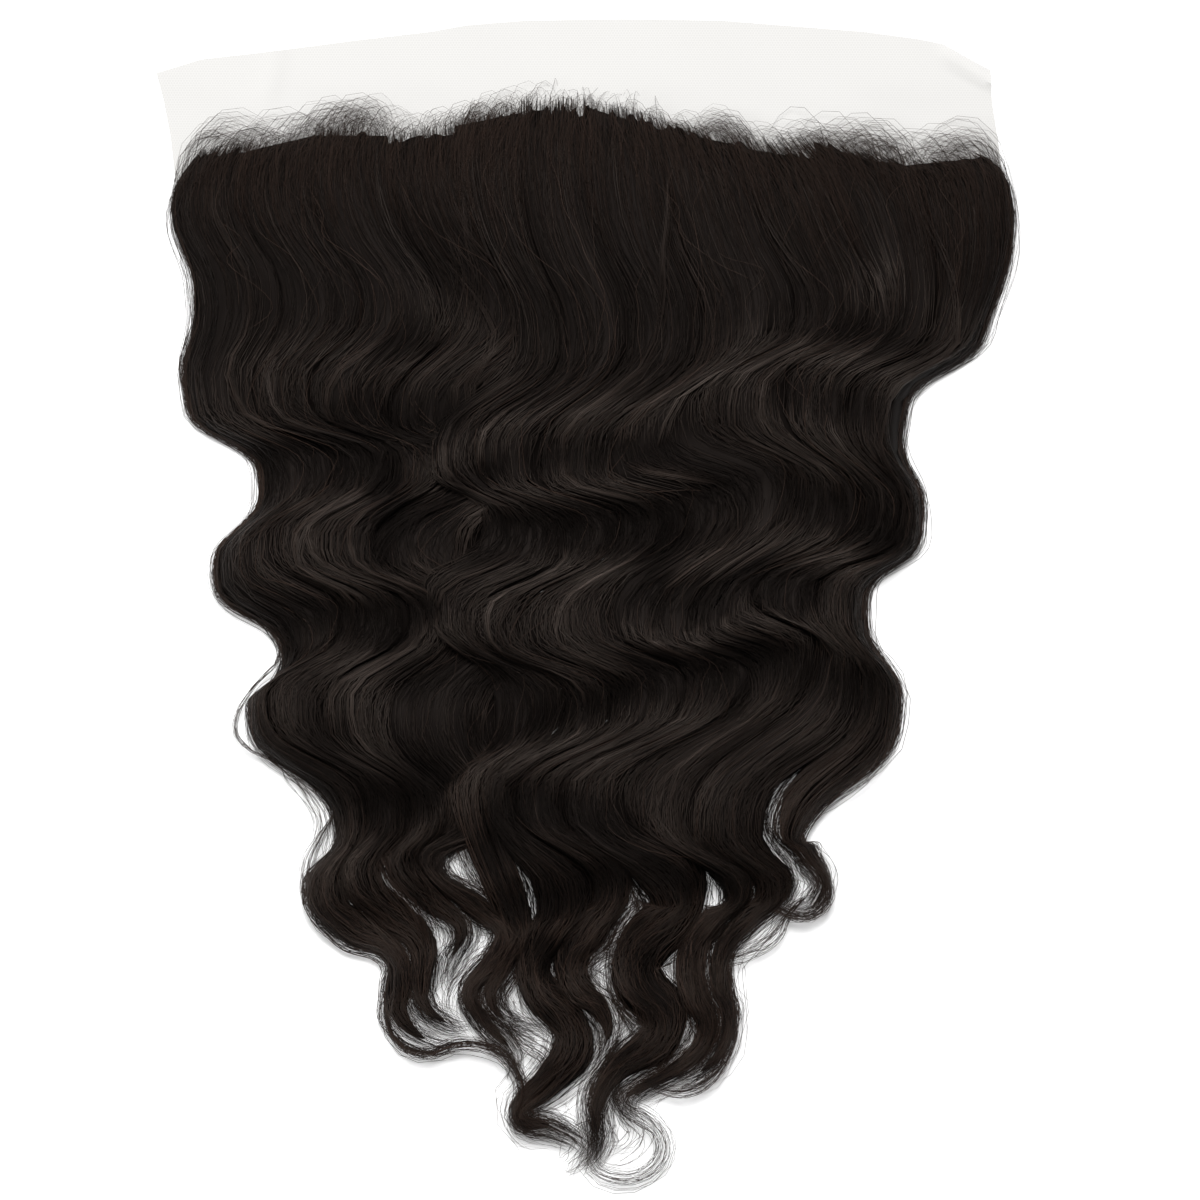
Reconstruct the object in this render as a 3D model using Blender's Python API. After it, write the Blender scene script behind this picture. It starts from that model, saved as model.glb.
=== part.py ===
"""A lace frontal hairpiece laid flat: a sheet of fine lace with long wavy hair knotted into it.

X runs across the lace, Y along the hair with the bare lace edge at +Y and the tips at -Y,
and Z up from the surface the piece lies on. The origin is in the middle of the base.
Tables are in millimetres, as (across, along), measured from the origin.
"""

import math
from collections import namedtuple

import bmesh
import bpy
from mathutils import Vector

MM = 0.001

# Driving dimensions
LACE_THICKNESS = 1.0
LACE_BACK = 126.0
SEAT_GAP = 0.3
WALL_GAP = 0.35
PARTING_GAP = 1.3
HEM_DROP_START = 5.0
HEM_DROP_END = 13.0

# How the hair is lofted
STATIONS_PER_FOLD = 3
ROUNDNESS = 1.25
STRAIGHT = 1.0
BISECTIONS = 30
ACROSS_TOP = (1.0, 0.9, 0.7, 0.5, 0.3, 0.1, 0.0)
CROWN_POWER = 2.4
INNER_SHOULDER = 0.74
OUTER_SHOULDER = 0.34
TAIL_SHOULDER = 0.45
RIDGE = 0.05
RIDGES_ACROSS = 1.5
RIDGE_TURN = 0.9

# Height of the hair at each fold, from the hairline down. Crests and valleys alternate.
FOLD_HEIGHTS = (3.0, 10.0, 12.0, 17.0, 11.0, 18.5, 11.0, 19.0, 12.0, 16.0)

# Edge of the bare lace, from its left end to its right end
LACE_FRONT = (
    (-171.5, 209), (-153.5, 214.5), (-122.5, 218), (-92, 222), (-61.5, 225.5), (-48.5, 228),
    (-23.5, 230), (15, 230.5), (53.5, 230), (79.5, 228), (111, 225.5), (133.5, 222.5),
    (143, 220.5), (154.5, 214), (162, 210),
)
LACE_RIGHT = ((162.5, 198), (165, 182), (167, 166), (164, 146), (157, LACE_BACK))
LACE_LEFT = ((-152, LACE_BACK), (-158, 146), (-164, 166), (-166, 184), (-169, 199.5))

# Lines that the hair follows, a point for the hairline and one for each fold below it
GUIDES = {
    "left_edge": (
        (-151, 182), (-165, 156), (-155.5, 120), (-159, 78), (-129.5, 46),
        (-148, 8), (-120.5, -22.5), (-134, -50.5), (-100, -90), (-110, -118)),
    "left_outer": (
        (-132, 186), (-138, 158), (-123.5, 121.5), (-129.5, 78), (-104, 52),
        (-121.5, 20), (-100.5, -10), (-124, -44.5), (-91, -83), (-97.5, -115.5)),
    "left_middle": (
        (-108, 189.5), (-109, 158), (-94, 120), (-104, 79), (-83, 52.5),
        (-97.5, 19.5), (-76, -9), (-97.5, -46.5), (-76, -85), (-81, -110.5)),
    "left_inner": (
        (-80, 188), (-77, 158), (-63, 118), (-71, 74), (-66, 52),
        (-77, 20), (-62, -10.5), (-71, -48), (-64, -86.5), (-64, -109)),
    "parting": (
        (-52, 190), (-48, 158), (-34, 108), (-53.5, 58), (-48, 28),
        (-57, -2), (-43, -48), (-55, -100), (-35, -128)),
    "centre_left": (
        (-26, 197.5), (-25.5, 158), (-14, 104), (-35.5, 56), (-15, 22),
        (-36, -12), (-16, -44), (-33, -82), (-21, -124)),
    "centre": (
        (0, 199), (2.5, 158), (13, 108), (-10, 53.5), (6, 26),
        (-18, -12), (2, -44), (-21.5, -82), (1, -117)),
    "centre_right": (
        (26, 193.5), (34, 158), (42, 108), (17, 56), (33, 31.5),
        (18.5, -8), (33, -39), (-2, -82), (18.5, -114.5)),
    "right_inner": (
        (54, 185.5), (68, 158), (78, 116), (57, 75), (76, 41.5),
        (52, -9), (59, -34.5), (24, -82), (50.5, -116)),
    "right_middle": (
        (82, 184), (98, 158), (110, 116), (86, 79), (104, 32),
        (74, 1.5), (87, -26), (50.5, -88), (65, -117)),
    "right_outer": (
        (118, 178), (136, 158), (137, 110), (108, 76), (123, 28),
        (94.5, 0.5), (106.5, -41), (74, -87.5), (80, -117)),
    "right_edge": (
        (149, 183), (170, 159.5), (160, 108), (127, 72), (134, 27),
        (111.5, -4.5), (125, -50.5), (87, -90.5), (98, -116.5)),
}

# Each lock lies between two guides. Below fold tail_from it is a tail of its own,
# with a row for each bend: across, along, width, height. Lift raises or lowers its crests.
Bend = namedtuple("Bend", "across along width height")
Lock = namedtuple("Lock", "name left right lift tail_from tail")


def bends(*rows):
    return tuple(Bend(*row) for row in rows)


LOCKS = (
    Lock("lock_left_edge", "left_edge", "left_outer", -1.0, 9, bends(
        (-104, -116.5, 12.5, 15), (-94, -132, 11, 14), (-77.5, -142, 7, 12), (-74, -156, 9, 13),
        (-74, -168, 9, 12), (-62, -178, 7, 10), (-45.5, -179, 4, 5))),
    Lock("lock_left_outer", "left_outer", "left_middle", 0.5, 9, bends(
        (-89, -113, 14, 16), (-78, -126.5, 11, 13), (-65.5, -139.5, 9, 11), (-65.5, -154.5, 6.5, 12),
        (-64, -164, 5.5, 11), (-54, -171.5, 4, 8), (-44.5, -173.5, 2.5, 4))),
    Lock("lock_left_middle", "left_middle", "left_inner", 0.0, 9, bends(
        (-70, -109.5, 12, 15), (-61, -122, 9.5, 12), (-49.5, -133, 7, 10), (-54, -146, 6, 9),
        (-57.5, -158, 3, 5))),
    Lock("lock_parting", "left_inner", "parting", -2.0, 9, bends(
        (-60, -108, 7, 14), (-43, -125, 7, 12), (-33, -134.5, 4.5, 11), (-37.5, -146.5, 5.5, 11),
        (-46, -158.5, 5.5, 11), (-40.5, -170, 5.5, 11), (-29.5, -182.5, 5, 9), (-29, -194.5, 3, 5))),
    Lock("lock_centre_left", "parting", "centre_left", 0.0, 7, bends(
        (-42.5, -82.5, 14.5, 16), (-29.5, -124.5, 11, 16), (-27, -137, 6.5, 14), (-32.5, -148, 6, 12),
        (-38, -160, 6.5, 11), (-31, -170.5, 5.5, 10), (-16, -176, 3, 5))),
    Lock("lock_centre", "centre_left", "centre", 1.0, 8, bends(
        (-10, -120.5, 19, 18), (-14, -134, 13, 16), (-20.5, -146, 11, 14), (-18, -158, 12, 14),
        (-8, -169, 12, 14), (-5, -182, 13, 13), (-16, -195.5, 9, 12), (-27, -205.5, 5, 9),
        (-23, -211, 6.5, 9), (-12.5, -212.5, 9, 9), (-3, -220.5, 5.5, 5))),
    Lock("lock_centre_right", "centre", "centre_right", 0.0, 8, bends(
        (9, -115.5, 12, 18), (2.5, -132, 12, 15), (-5.5, -144, 11.5, 14), (-3, -157, 11, 14),
        (7, -167.5, 9.5, 14), (8, -180, 8.5, 12), (-2, -194, 5.5, 6))),
    Lock("lock_right_inner", "centre_right", "right_inner", 1.5, 8, bends(
        (35, -116.5, 20, 20), (34, -128, 17.5, 16), (23, -141, 17, 14), (21, -154, 17, 14),
        (30.5, -166.5, 16.5, 14), (28, -179, 13, 13), (13.5, -189, 8.5, 12), (5, -202.5, 7, 11),
        (5, -217, 6.5, 9), (3.5, -230, 3, 4))),
    Lock("lock_right_middle", "right_inner", "right_middle", 0.0, 8, bends(
        (59.5, -117, 9.5, 17), (50.5, -130, 8, 13), (42.5, -143.5, 9, 12), (43.5, -159.5, 9, 12),
        (48.5, -173, 6, 11), (41.5, -185.5, 5.5, 10), (24.5, -195.5, 4.5, 9), (15.5, -202, 5.5, 9),
        (20, -212, 4.5, 5))),
    Lock("lock_right_outer", "right_middle", "right_outer", 1.0, 8, bends(
        (74, -117, 12, 15), (65, -128, 7, 11), (55.5, -141, 5.5, 10), (53.5, -155.5, 5, 9),
        (57.5, -167.5, 4.5, 9), (54, -182, 4.5, 9), (44, -191.5, 4, 8), (33, -194.5, 2.5, 4))),
    Lock("lock_right_edge", "right_outer", "right_edge", -1.0, 7, bends(
        (82, -89, 11, 15), (87.5, -102.5, 7, 12), (94.5, -114, 5.5, 10), (89, -124, 4.5, 8),
        (80, -125.5, 3, 4))),
)

# Colours seen in the photo: near-black brown hair, off-white lace
HAIR_COLOUR = (0.016, 0.012, 0.010, 1.0)
HAIR_ROUGHNESS = 0.42
LACE_COLOUR = (0.86, 0.84, 0.80, 1.0)
LACE_ROUGHNESS = 0.75


def clear_scene():
    for item in list(bpy.data.objects):
        bpy.data.objects.remove(item, do_unlink=True)


def make_material(name, colour, roughness):
    material = bpy.data.materials.new(name)
    material.use_nodes = True
    shader = material.node_tree.nodes["Principled BSDF"]
    shader.inputs["Base Color"].default_value = colour
    shader.inputs["Roughness"].default_value = roughness
    shader.inputs["Metallic"].default_value = 0.0
    return material


def smooth_line(points, roundness=ROUNDNESS):
    """A smooth line through points: each point with the direction in which the line passes it."""
    last = len(points) - 1
    slopes = [points[1] - points[0]]
    for before, after in zip(points, points[2:]):
        slopes.append((after - before) * 0.5 * roundness)
    slopes.append(points[last] - points[last - 1])
    return list(zip(points, slopes))


def along_line(line, phase):
    """Point of a smooth line at a phase, which counts its points from 0."""
    index = min(int(phase), len(line) - 2)
    step = phase - index
    ease = step * step * (3.0 - 2.0 * step)
    leave = step * (1.0 - step) ** 2
    arrive = step * step * (step - 1.0)
    start, start_slope = line[index]
    end, end_slope = line[index + 1]
    return start * (1.0 - ease) + end * ease + start_slope * leave + end_slope * arrive


def guide_line(name):
    return smooth_line([Vector(point) for point in GUIDES[name]])


def point_at(line, along):
    """Point of a line that runs steadily down, where it reaches a distance along the hair."""
    low, high = 0.0, len(line) - 1.0
    for _ in range(BISECTIONS):
        middle = (low + high) / 2
        if along_line(line, middle).y > along:
            low = middle
        else:
            high = middle
    return along_line(line, low)


def side_of(points, index):
    """Unit vector to the right of a line of points, seen from above."""
    before = points[max(index - 1, 0)]
    after = points[min(index + 1, len(points) - 1)]
    run = (after - before).normalized()
    return Vector((-run.y, run.x))


def uneven(lock):
    """Whether the two guides of a lock have their folds at different places."""
    return len(GUIDES[lock.left]) != len(GUIDES[lock.right])


def lock_rails(lock):
    """The lock's two long edges: its guides as far as its tail, then the tail's own edges."""
    left = guide_line(lock.left)
    right = guide_line(lock.right)
    if uneven(lock):
        right = smooth_line([point_at(right, point.y) for point, _ in left])
    left = left[:lock.tail_from]
    right = right[:lock.tail_from]
    middle = [(a + b) / 2 for (a, _), (b, _) in zip(left, right)]
    middle += [Vector((bend.across, bend.along)) for bend in lock.tail]
    reach = [side_of(middle, lock.tail_from + number) * (bend.width / 2)
             for number, bend in enumerate(lock.tail)]
    rails = []
    for rail, sign in ((left, -1.0), (right, 1.0)):
        ends = [middle[lock.tail_from + number] + sign * side for number, side in enumerate(reach)]
        whole = smooth_line([point for point, _ in rail] + ends)
        rails.append(rail + whole[lock.tail_from:])
    return rails


def lock_heights(lock):
    body = [FOLD_HEIGHTS[fold] + (lock.lift if fold > 1 else 0.0) for fold in range(lock.tail_from)]
    heights = body + [bend.height for bend in lock.tail]
    return smooth_line([Vector((height, 0.0)) for height in heights], STRAIGHT)


def underside(along):
    """Height of the hair's underside: on the lace, and past its back edge on the floor."""
    past = (LACE_BACK - along - HEM_DROP_START) / (HEM_DROP_END - HEM_DROP_START)
    return (LACE_THICKNESS + SEAT_GAP) * (1.0 - min(max(past, 0.0), 1.0))


def shoulders(lock, phase):
    """Share of the height that the lock keeps at its left and right walls."""
    tail = min(max(phase - lock.tail_from + 1.0, 0.0), 1.0)
    left = OUTER_SHOULDER if lock is LOCKS[0] else INNER_SHOULDER
    right = OUTER_SHOULDER if lock is LOCKS[-1] else INNER_SHOULDER
    return left + (TAIL_SHOULDER - left) * tail, right + (TAIL_SHOULDER - right) * tail


def section(left, right, height, left_shoulder, right_shoulder, turn):
    """Ring of points across a lock: flat below, crowned and softly ridged above."""
    floor_left, floor_right = underside(left.y), underside(right.y)
    ring = [(left.x, left.y, floor_left), (right.x, right.y, floor_right)]
    for share in ACROSS_TOP:
        spot = left.lerp(right, share)
        base = floor_left + (floor_right - floor_left) * share
        shoulder = left_shoulder + (right_shoulder - left_shoulder) * share
        crown = 1.0 - abs(2.0 * share - 1.0) ** CROWN_POWER
        ridge = RIDGE * crown * math.sin(2.0 * math.pi * RIDGES_ACROSS * share + turn)
        ring.append((spot.x, spot.y, base + height * (shoulder + (1.0 - shoulder) * crown + ridge)))
    return ring


def lock_rings(number, lock):
    left, right = lock_rails(lock)
    heights = lock_heights(lock)
    wall_gap = PARTING_GAP if uneven(lock) else WALL_GAP
    rings = []
    for station in range((len(left) - 1) * STATIONS_PER_FOLD + 1):
        phase = station / STATIONS_PER_FOLD
        left_point = along_line(left, phase)
        right_point = along_line(right, phase)
        if uneven(lock) and phase <= lock.tail_from - 1:
            right_point = point_at(guide_line(lock.right), left_point.y)
        inward = (right_point - left_point).normalized()
        height = along_line(heights, phase).x
        rings.append(section(
            left_point + inward * WALL_GAP,
            right_point - inward * wall_gap,
            height, *shoulders(lock, phase), number + RIDGE_TURN * phase))
    return rings


def loft(name, rings, material, collection):
    """Closed skin through rings of equal length, with its ends filled."""
    shape = bmesh.new()
    rows = [[shape.verts.new(Vector(point) * MM) for point in ring] for ring in rings]
    count = len(rings[0])
    for upper, lower in zip(rows, rows[1:]):
        for index in range(count):
            following = (index + 1) % count
            shape.faces.new((upper[index], lower[index], lower[following], upper[following]))
    shape.faces.new(rows[0])
    shape.faces.new(reversed(rows[-1]))
    bmesh.ops.recalc_face_normals(shape, faces=shape.faces)
    bmesh.ops.triangulate(shape, faces=shape.faces)
    mesh = bpy.data.meshes.new(name)
    shape.to_mesh(mesh)
    shape.free()
    mesh.shade_smooth()
    mesh.materials.append(material)
    piece = bpy.data.objects.new(name, mesh)
    collection.objects.link(piece)
    return piece


def make_lace(material, collection):
    """The lace: a flat outline with a straight back edge under the hair."""
    outline = [Vector(point) for point in LACE_FRONT + LACE_RIGHT + LACE_LEFT]
    curve = bpy.data.curves.new("lace_base", "CURVE")
    curve.dimensions = "2D"
    curve.fill_mode = "BOTH"
    curve.extrude = LACE_THICKNESS / 2 * MM
    line = curve.splines.new("POLY")
    line.points.add(len(outline) - 1)
    for spot, point in zip(line.points, outline):
        spot.co = (point.x * MM, point.y * MM, 0.0, 1.0)
    line.use_cyclic_u = True
    curve.materials.append(material)
    lace = bpy.data.objects.new("lace_base", curve)
    lace.location.z = LACE_THICKNESS / 2 * MM
    collection.objects.link(lace)
    return lace


def main():
    clear_scene()
    collection = bpy.data.collections.new("lace_frontal")
    bpy.context.scene.collection.children.link(collection)
    make_lace(make_material("lace", LACE_COLOUR, LACE_ROUGHNESS), collection)
    for number, lock in enumerate(LOCKS):
        material = make_material(lock.name + "_hair", HAIR_COLOUR, HAIR_ROUGHNESS)
        loft(lock.name, lock_rings(number, lock), material, collection)


main()
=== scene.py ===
"""Looks of a lace frontal hairpiece laid flat: fine lace with long wavy hair knotted into it.

The tables are in millimetres, as (across, along), from the middle of the base.
X runs across the lace, Y along the hair with the bare lace edge at +Y, and Z up.
"""

from collections import namedtuple
from math import pi, radians

import bpy
import numpy as np
from bpy.props import FloatProperty, FloatVectorProperty, IntProperty, PointerProperty
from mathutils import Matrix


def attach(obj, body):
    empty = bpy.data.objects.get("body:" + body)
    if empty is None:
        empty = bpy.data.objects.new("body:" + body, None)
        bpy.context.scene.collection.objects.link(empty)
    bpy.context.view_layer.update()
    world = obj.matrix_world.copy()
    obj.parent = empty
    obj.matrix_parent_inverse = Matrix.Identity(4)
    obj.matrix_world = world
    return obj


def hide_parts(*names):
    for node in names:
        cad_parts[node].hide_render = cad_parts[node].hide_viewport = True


bl_info = {
    "name": "Lace frontal looks",
    "version": (1, 0, 0),
    "blender": (4, 5, 0),
    "location": "View3D > Sidebar > Hair",
    "description": "Dresses the plain lace frontal with combed strands, fine lace and a pale studio",
    "category": "Object",
}

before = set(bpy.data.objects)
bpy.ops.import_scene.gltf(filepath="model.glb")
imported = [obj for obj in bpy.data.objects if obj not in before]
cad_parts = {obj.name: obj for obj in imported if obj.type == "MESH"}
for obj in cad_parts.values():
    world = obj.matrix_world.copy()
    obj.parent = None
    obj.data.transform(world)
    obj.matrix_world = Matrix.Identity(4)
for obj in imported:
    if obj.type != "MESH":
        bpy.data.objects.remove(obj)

MM = 0.001
UV_NAME = "OFBake"

# Top of the lace, its back edge, and how far past that edge the hair's underside drops to the floor
LACE_TOP = 1.3
LACE_BACK = 126.0
HEM_DROP_START = 5.0
HEM_DROP_END = 13.0

# Run of the waves: how round they bend, how they swing from side to side, and their height at each fold
ROUNDNESS = 1.25
STATIONS = 20
SWEEP = 0.8
SWAY = 8.0
# Shift along the waves, in folds, of the gloss and painted highlight on the crests
CREST_SHIFT = 0.25
FOLD_HEIGHTS = (3.0, 10.0, 12.5, 15.5, 12.5, 16.5, 12.5, 17.0, 13.0, 16.0)

# Form across a lock: the height of its edges as a share of its middle, and its soft ridges
CROWN_POWER = 2.4
INNER_SHOULDER = 0.74
OUTER_SHOULDER = 0.34
TAIL_SHOULDER = 0.45
TUCKED_SHOULDER = 0.25
TAIL_FULLNESS = 1.25
RIDGE = 0.05
RIDGES_ACROSS = 1.5
RIDGE_TURN = 0.9

# Dark inner body of a lock: rings a fold, points across, and how deep it lies under the lock's top.
# It begins CORE_BACK folds behind the hairline, CORE_RAGGED more or less, and ends CORE_SHORT folds
# before the tip. Its width is a share of the lock's, less by CORE_NARROWING in the tail.
CORE_STEPS = 4
CORE_ACROSS = 18
CORE_DEPTH = 2.2
CORE_BACK = 0.16
CORE_RAGGED = 0.08
CORE_SHORT = 1.1
CORE_WIDTH = 1.04
CORE_NARROWING = 0.12

# Points on each kind of strand
TAIL_POINTS = 35
BODY_POINTS = 29
FRONT_POINTS = 8
ROOT_POINTS = 12
ROVING_POINTS = 32
STRAY_POINTS = 24
WISP_POINTS = 19

# Clumps in a lock: how far they wander and how wide they are, as shares of their even width, by what
# share that width changes, and by what share the lock draws together at its tip
CLUMP_WANDER = 0.42
CLUMP_WIDTH = 0.8
CLUMP_CHANGE = 0.3
TIP_GATHER = 0.35

# Loose strands: their share of a lock, how far they spread out beside its tail on average and at most,
# how far they wander there, and how much thinner they are
LOOSE_SHARE = 0.42
VEIL = 0.9
VEIL_LIMIT = 2.2
LOOSE_DRIFT = 1.5
LOOSE_THINNING = 0.45

# How far strands may pass a lock's edge, how much further in its tail, and what share of that is
# left at the two sides of the hair
EDGE_IN_BODY = 0.5
EDGE_IN_TAIL = 7.0
OUTER_EDGE = 0.3

# Heights of strands: depth of the lowest layer under the top, folds from a root to full height, height
# of hair in which clumps rise and sink fully, and least height of a strand's middle
LAYER_DEPTH = 3.2
ROOT_RISE = 0.55
FULL_LIFT_AT = 9.0
LEAST_HEIGHT = 0.35

# Radius of a strand at its two ends
END_RADIUS = 0.004

# Hairs along the hairline: where they part, how far they swing away from there, how far they arch over
# the lace, how far each leans at random, and the share of a hair that is arched
PARTING_AT = 10.0
SWOOP = 15.0
ARCH = 12.0
LEAN = 8.0
ARCH_SHARE = 0.55

# How far side strands stand out, and the fold at which hairs that lie over the waves end
SIDE_REACH = 3.6
LAST_FOLD = 8.2

# A lock of this mean width has the settings' own numbers of strands, and others this share of them
COMMON_WIDTH = 25.0
FEWEST, MOST = 0.6, 1.15

# Tint of the shine on hair, and the camera's height in metres
HAIR_TINT = (1.0, 0.82, 0.74, 1.0)
CAMERA_HEIGHT = 3.0

# Edge of the bare lace, from its left end to its right end, and its two short sides
LACE_FRONT = (
    (-171.5, 209), (-153.5, 214.5), (-122.5, 218), (-92, 222), (-61.5, 225.5), (-48.5, 228),
    (-23.5, 230), (15, 230.5), (53.5, 230), (79.5, 228), (111, 225.5), (133.5, 222.5),
    (143, 220.5), (154.5, 214), (162, 210),
)
LACE_RIGHT = ((157, LACE_BACK), (164, 146), (167, 166), (165, 182), (162.5, 198), (162, 210))
LACE_LEFT = ((-152, LACE_BACK), (-158, 146), (-164, 166), (-166, 184), (-169, 199.5), (-171.5, 209))

# Where the dark hair begins on the lace, from left to right
HAIRLINE = (
    (-166, 156), (-162, 172), (-151, 179), (-138, 182.5), (-120, 180), (-110, 186.5), (-94, 189),
    (-80, 187), (-72, 185), (-56, 190), (-34, 195), (-26, 198.5), (-14, 201), (6, 199),
    (22, 195), (38, 190), (46, 185), (60, 185), (65, 175), (70, 174), (76, 181), (86, 178),
    (90, 184.5), (98, 183), (106, 177.5), (118, 175), (124, 167), (130, 174), (142, 177),
    (150, 178.5), (162, 174), (168, 167), (171, 156),
)

# Lines that the hair follows, a point for the hairline and one for each fold below it
GUIDES = {
    "left_edge": (
        (-151, 182), (-165, 156), (-155.5, 120), (-159, 78), (-129.5, 46),
        (-148, 8), (-120.5, -22.5), (-134, -50.5), (-100, -90), (-110, -118)),
    "left_outer": (
        (-132, 186), (-138, 158), (-123.5, 121.5), (-129.5, 78), (-104, 52),
        (-121.5, 20), (-100.5, -10), (-124, -44.5), (-91, -83), (-97.5, -115.5)),
    "left_middle": (
        (-108, 189.5), (-109, 158), (-94, 120), (-104, 79), (-83, 52.5),
        (-97.5, 19.5), (-76, -9), (-97.5, -46.5), (-76, -85), (-81, -110.5)),
    "left_inner": (
        (-80, 188), (-77, 158), (-63, 118), (-71, 74), (-66, 52),
        (-77, 20), (-62, -10.5), (-71, -48), (-64, -86.5), (-64, -109)),
    "parting_under": (
        (-40, 194), (-34, 158), (-14, 118), (-30, 74), (-22, 52),
        (-34, 20), (-24, -10.5), (-26, -48), (-30, -86.5), (-44, -109)),
    "parting": (
        (-52, 190), (-48, 158), (-34, 108), (-53.5, 58), (-48, 28),
        (-57, -2), (-43, -48), (-55, -100), (-35, -128)),
    "centre_left": (
        (-26, 197.5), (-25.5, 158), (-14, 104), (-35.5, 56), (-15, 22),
        (-36, -12), (-16, -44), (-33, -82), (-21, -124)),
    "centre": (
        (0, 199), (2.5, 158), (13, 108), (-10, 53.5), (6, 26),
        (-18, -12), (2, -44), (-21.5, -82), (1, -117)),
    "centre_right": (
        (26, 193.5), (34, 158), (42, 108), (17, 56), (33, 31.5),
        (18.5, -8), (33, -39), (-2, -82), (18.5, -114.5)),
    "right_inner": (
        (54, 185.5), (68, 158), (78, 116), (57, 75), (76, 41.5),
        (52, -9), (59, -34.5), (24, -82), (50.5, -116)),
    "right_middle": (
        (82, 184), (98, 158), (110, 116), (86, 79), (104, 32),
        (74, 1.5), (87, -26), (50.5, -88), (65, -117)),
    "right_outer": (
        (118, 178), (136, 158), (137, 110), (108, 76), (123, 28),
        (94.5, 0.5), (106.5, -41), (74, -87.5), (80, -117)),
    "right_edge": (
        (149, 183), (170, 159.5), (160, 108), (127, 72), (134, 27),
        (111.5, -4.5), (125, -50.5), (87, -90.5), (98, -116.5)),
}

# Each lock lies between two guides. Below fold tail_from it is a tail of its own,
# with a row for each bend: across, along, width, height.
Bend = namedtuple("Bend", "across along width height")
Lock = namedtuple("Lock", "name left right lift tail_from tail")


def bends(*rows):
    return tuple(Bend(*row) for row in rows)


LOCKS = (
    Lock("lock_left_edge", "left_edge", "left_outer", -1.0, 9, bends(
        (-104, -116.5, 12.5, 15), (-94, -132, 11, 14), (-77.5, -142, 7, 12), (-74, -156, 9, 13),
        (-74, -168, 9, 12), (-62, -178, 7, 10), (-45.5, -179, 4, 5))),
    Lock("lock_left_outer", "left_outer", "left_middle", 0.5, 9, bends(
        (-89, -113, 14, 16), (-78, -126.5, 11, 13), (-65.5, -139.5, 9, 11), (-65.5, -154.5, 6.5, 12),
        (-64, -164, 5.5, 11), (-54, -171.5, 4, 8), (-44.5, -173.5, 2.5, 4))),
    Lock("lock_left_middle", "left_middle", "left_inner", 0.0, 9, bends(
        (-70, -109.5, 12, 15), (-61, -122, 9.5, 12), (-49.5, -133, 7, 10), (-54, -146, 6, 9),
        (-57.5, -158, 3, 5))),
    Lock("lock_parting", "left_inner", "parting_under", -4.5, 9, bends(
        (-60, -108, 7, 14), (-43, -125, 7, 12), (-33, -134.5, 4.5, 11), (-37.5, -146.5, 5.5, 11),
        (-46, -158.5, 5.5, 11), (-40.5, -170, 5.5, 11), (-29.5, -182.5, 5, 9), (-29, -194.5, 3, 5))),
    Lock("lock_centre_left", "parting", "centre_left", 0.0, 7, bends(
        (-42.5, -82.5, 14.5, 16), (-29.5, -124.5, 11, 16), (-27, -137, 6.5, 14), (-32.5, -148, 6, 12),
        (-38, -160, 6.5, 11), (-31, -170.5, 5.5, 10), (-16, -176, 3, 5))),
    Lock("lock_centre", "centre_left", "centre", 1.0, 8, bends(
        (-10, -120.5, 19, 18), (-14, -134, 13, 16), (-20.5, -146, 11, 14), (-18, -158, 12, 14),
        (-8, -169, 12, 14), (-5, -182, 13, 13), (-16, -195.5, 9, 12), (-27, -205.5, 5, 9),
        (-23, -211, 6.5, 9), (-12.5, -212.5, 9, 9), (-3, -220.5, 5.5, 5))),
    Lock("lock_centre_right", "centre", "centre_right", 0.0, 8, bends(
        (9, -115.5, 12, 18), (2.5, -132, 12, 15), (-5.5, -144, 11.5, 14), (-3, -157, 11, 14),
        (7, -167.5, 9.5, 14), (8, -180, 8.5, 12), (-2, -194, 5.5, 6))),
    Lock("lock_right_inner", "centre_right", "right_inner", 1.5, 8, bends(
        (35, -116.5, 20, 20), (34, -128, 17.5, 16), (23, -141, 17, 14), (21, -154, 17, 14),
        (30.5, -166.5, 16.5, 14), (28, -179, 13, 13), (13.5, -189, 8.5, 12), (5, -202.5, 7, 11),
        (5, -217, 6.5, 9), (3.5, -230, 3, 4))),
    Lock("lock_right_middle", "right_inner", "right_middle", 0.0, 8, bends(
        (59.5, -117, 9.5, 17), (50.5, -130, 8, 13), (42.5, -143.5, 9, 12), (43.5, -159.5, 9, 12),
        (48.5, -173, 6, 11), (41.5, -185.5, 5.5, 10), (24.5, -195.5, 4.5, 9), (15.5, -202, 5.5, 9),
        (20, -212, 4.5, 5))),
    Lock("lock_right_outer", "right_middle", "right_outer", 1.0, 8, bends(
        (74, -117, 12, 15), (65, -128, 7, 11), (55.5, -141, 5.5, 10), (53.5, -155.5, 5, 9),
        (57.5, -167.5, 4.5, 9), (54, -182, 4.5, 9), (44, -191.5, 4, 8), (33, -194.5, 2.5, 4))),
    Lock("lock_right_edge", "right_outer", "right_edge", -1.0, 7, bends(
        (82, -89, 11, 15), (87.5, -102.5, 7, 12), (94.5, -114, 5.5, 10), (89, -124, 4.5, 8),
        (80, -125.5, 3, 4))),
)
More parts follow.
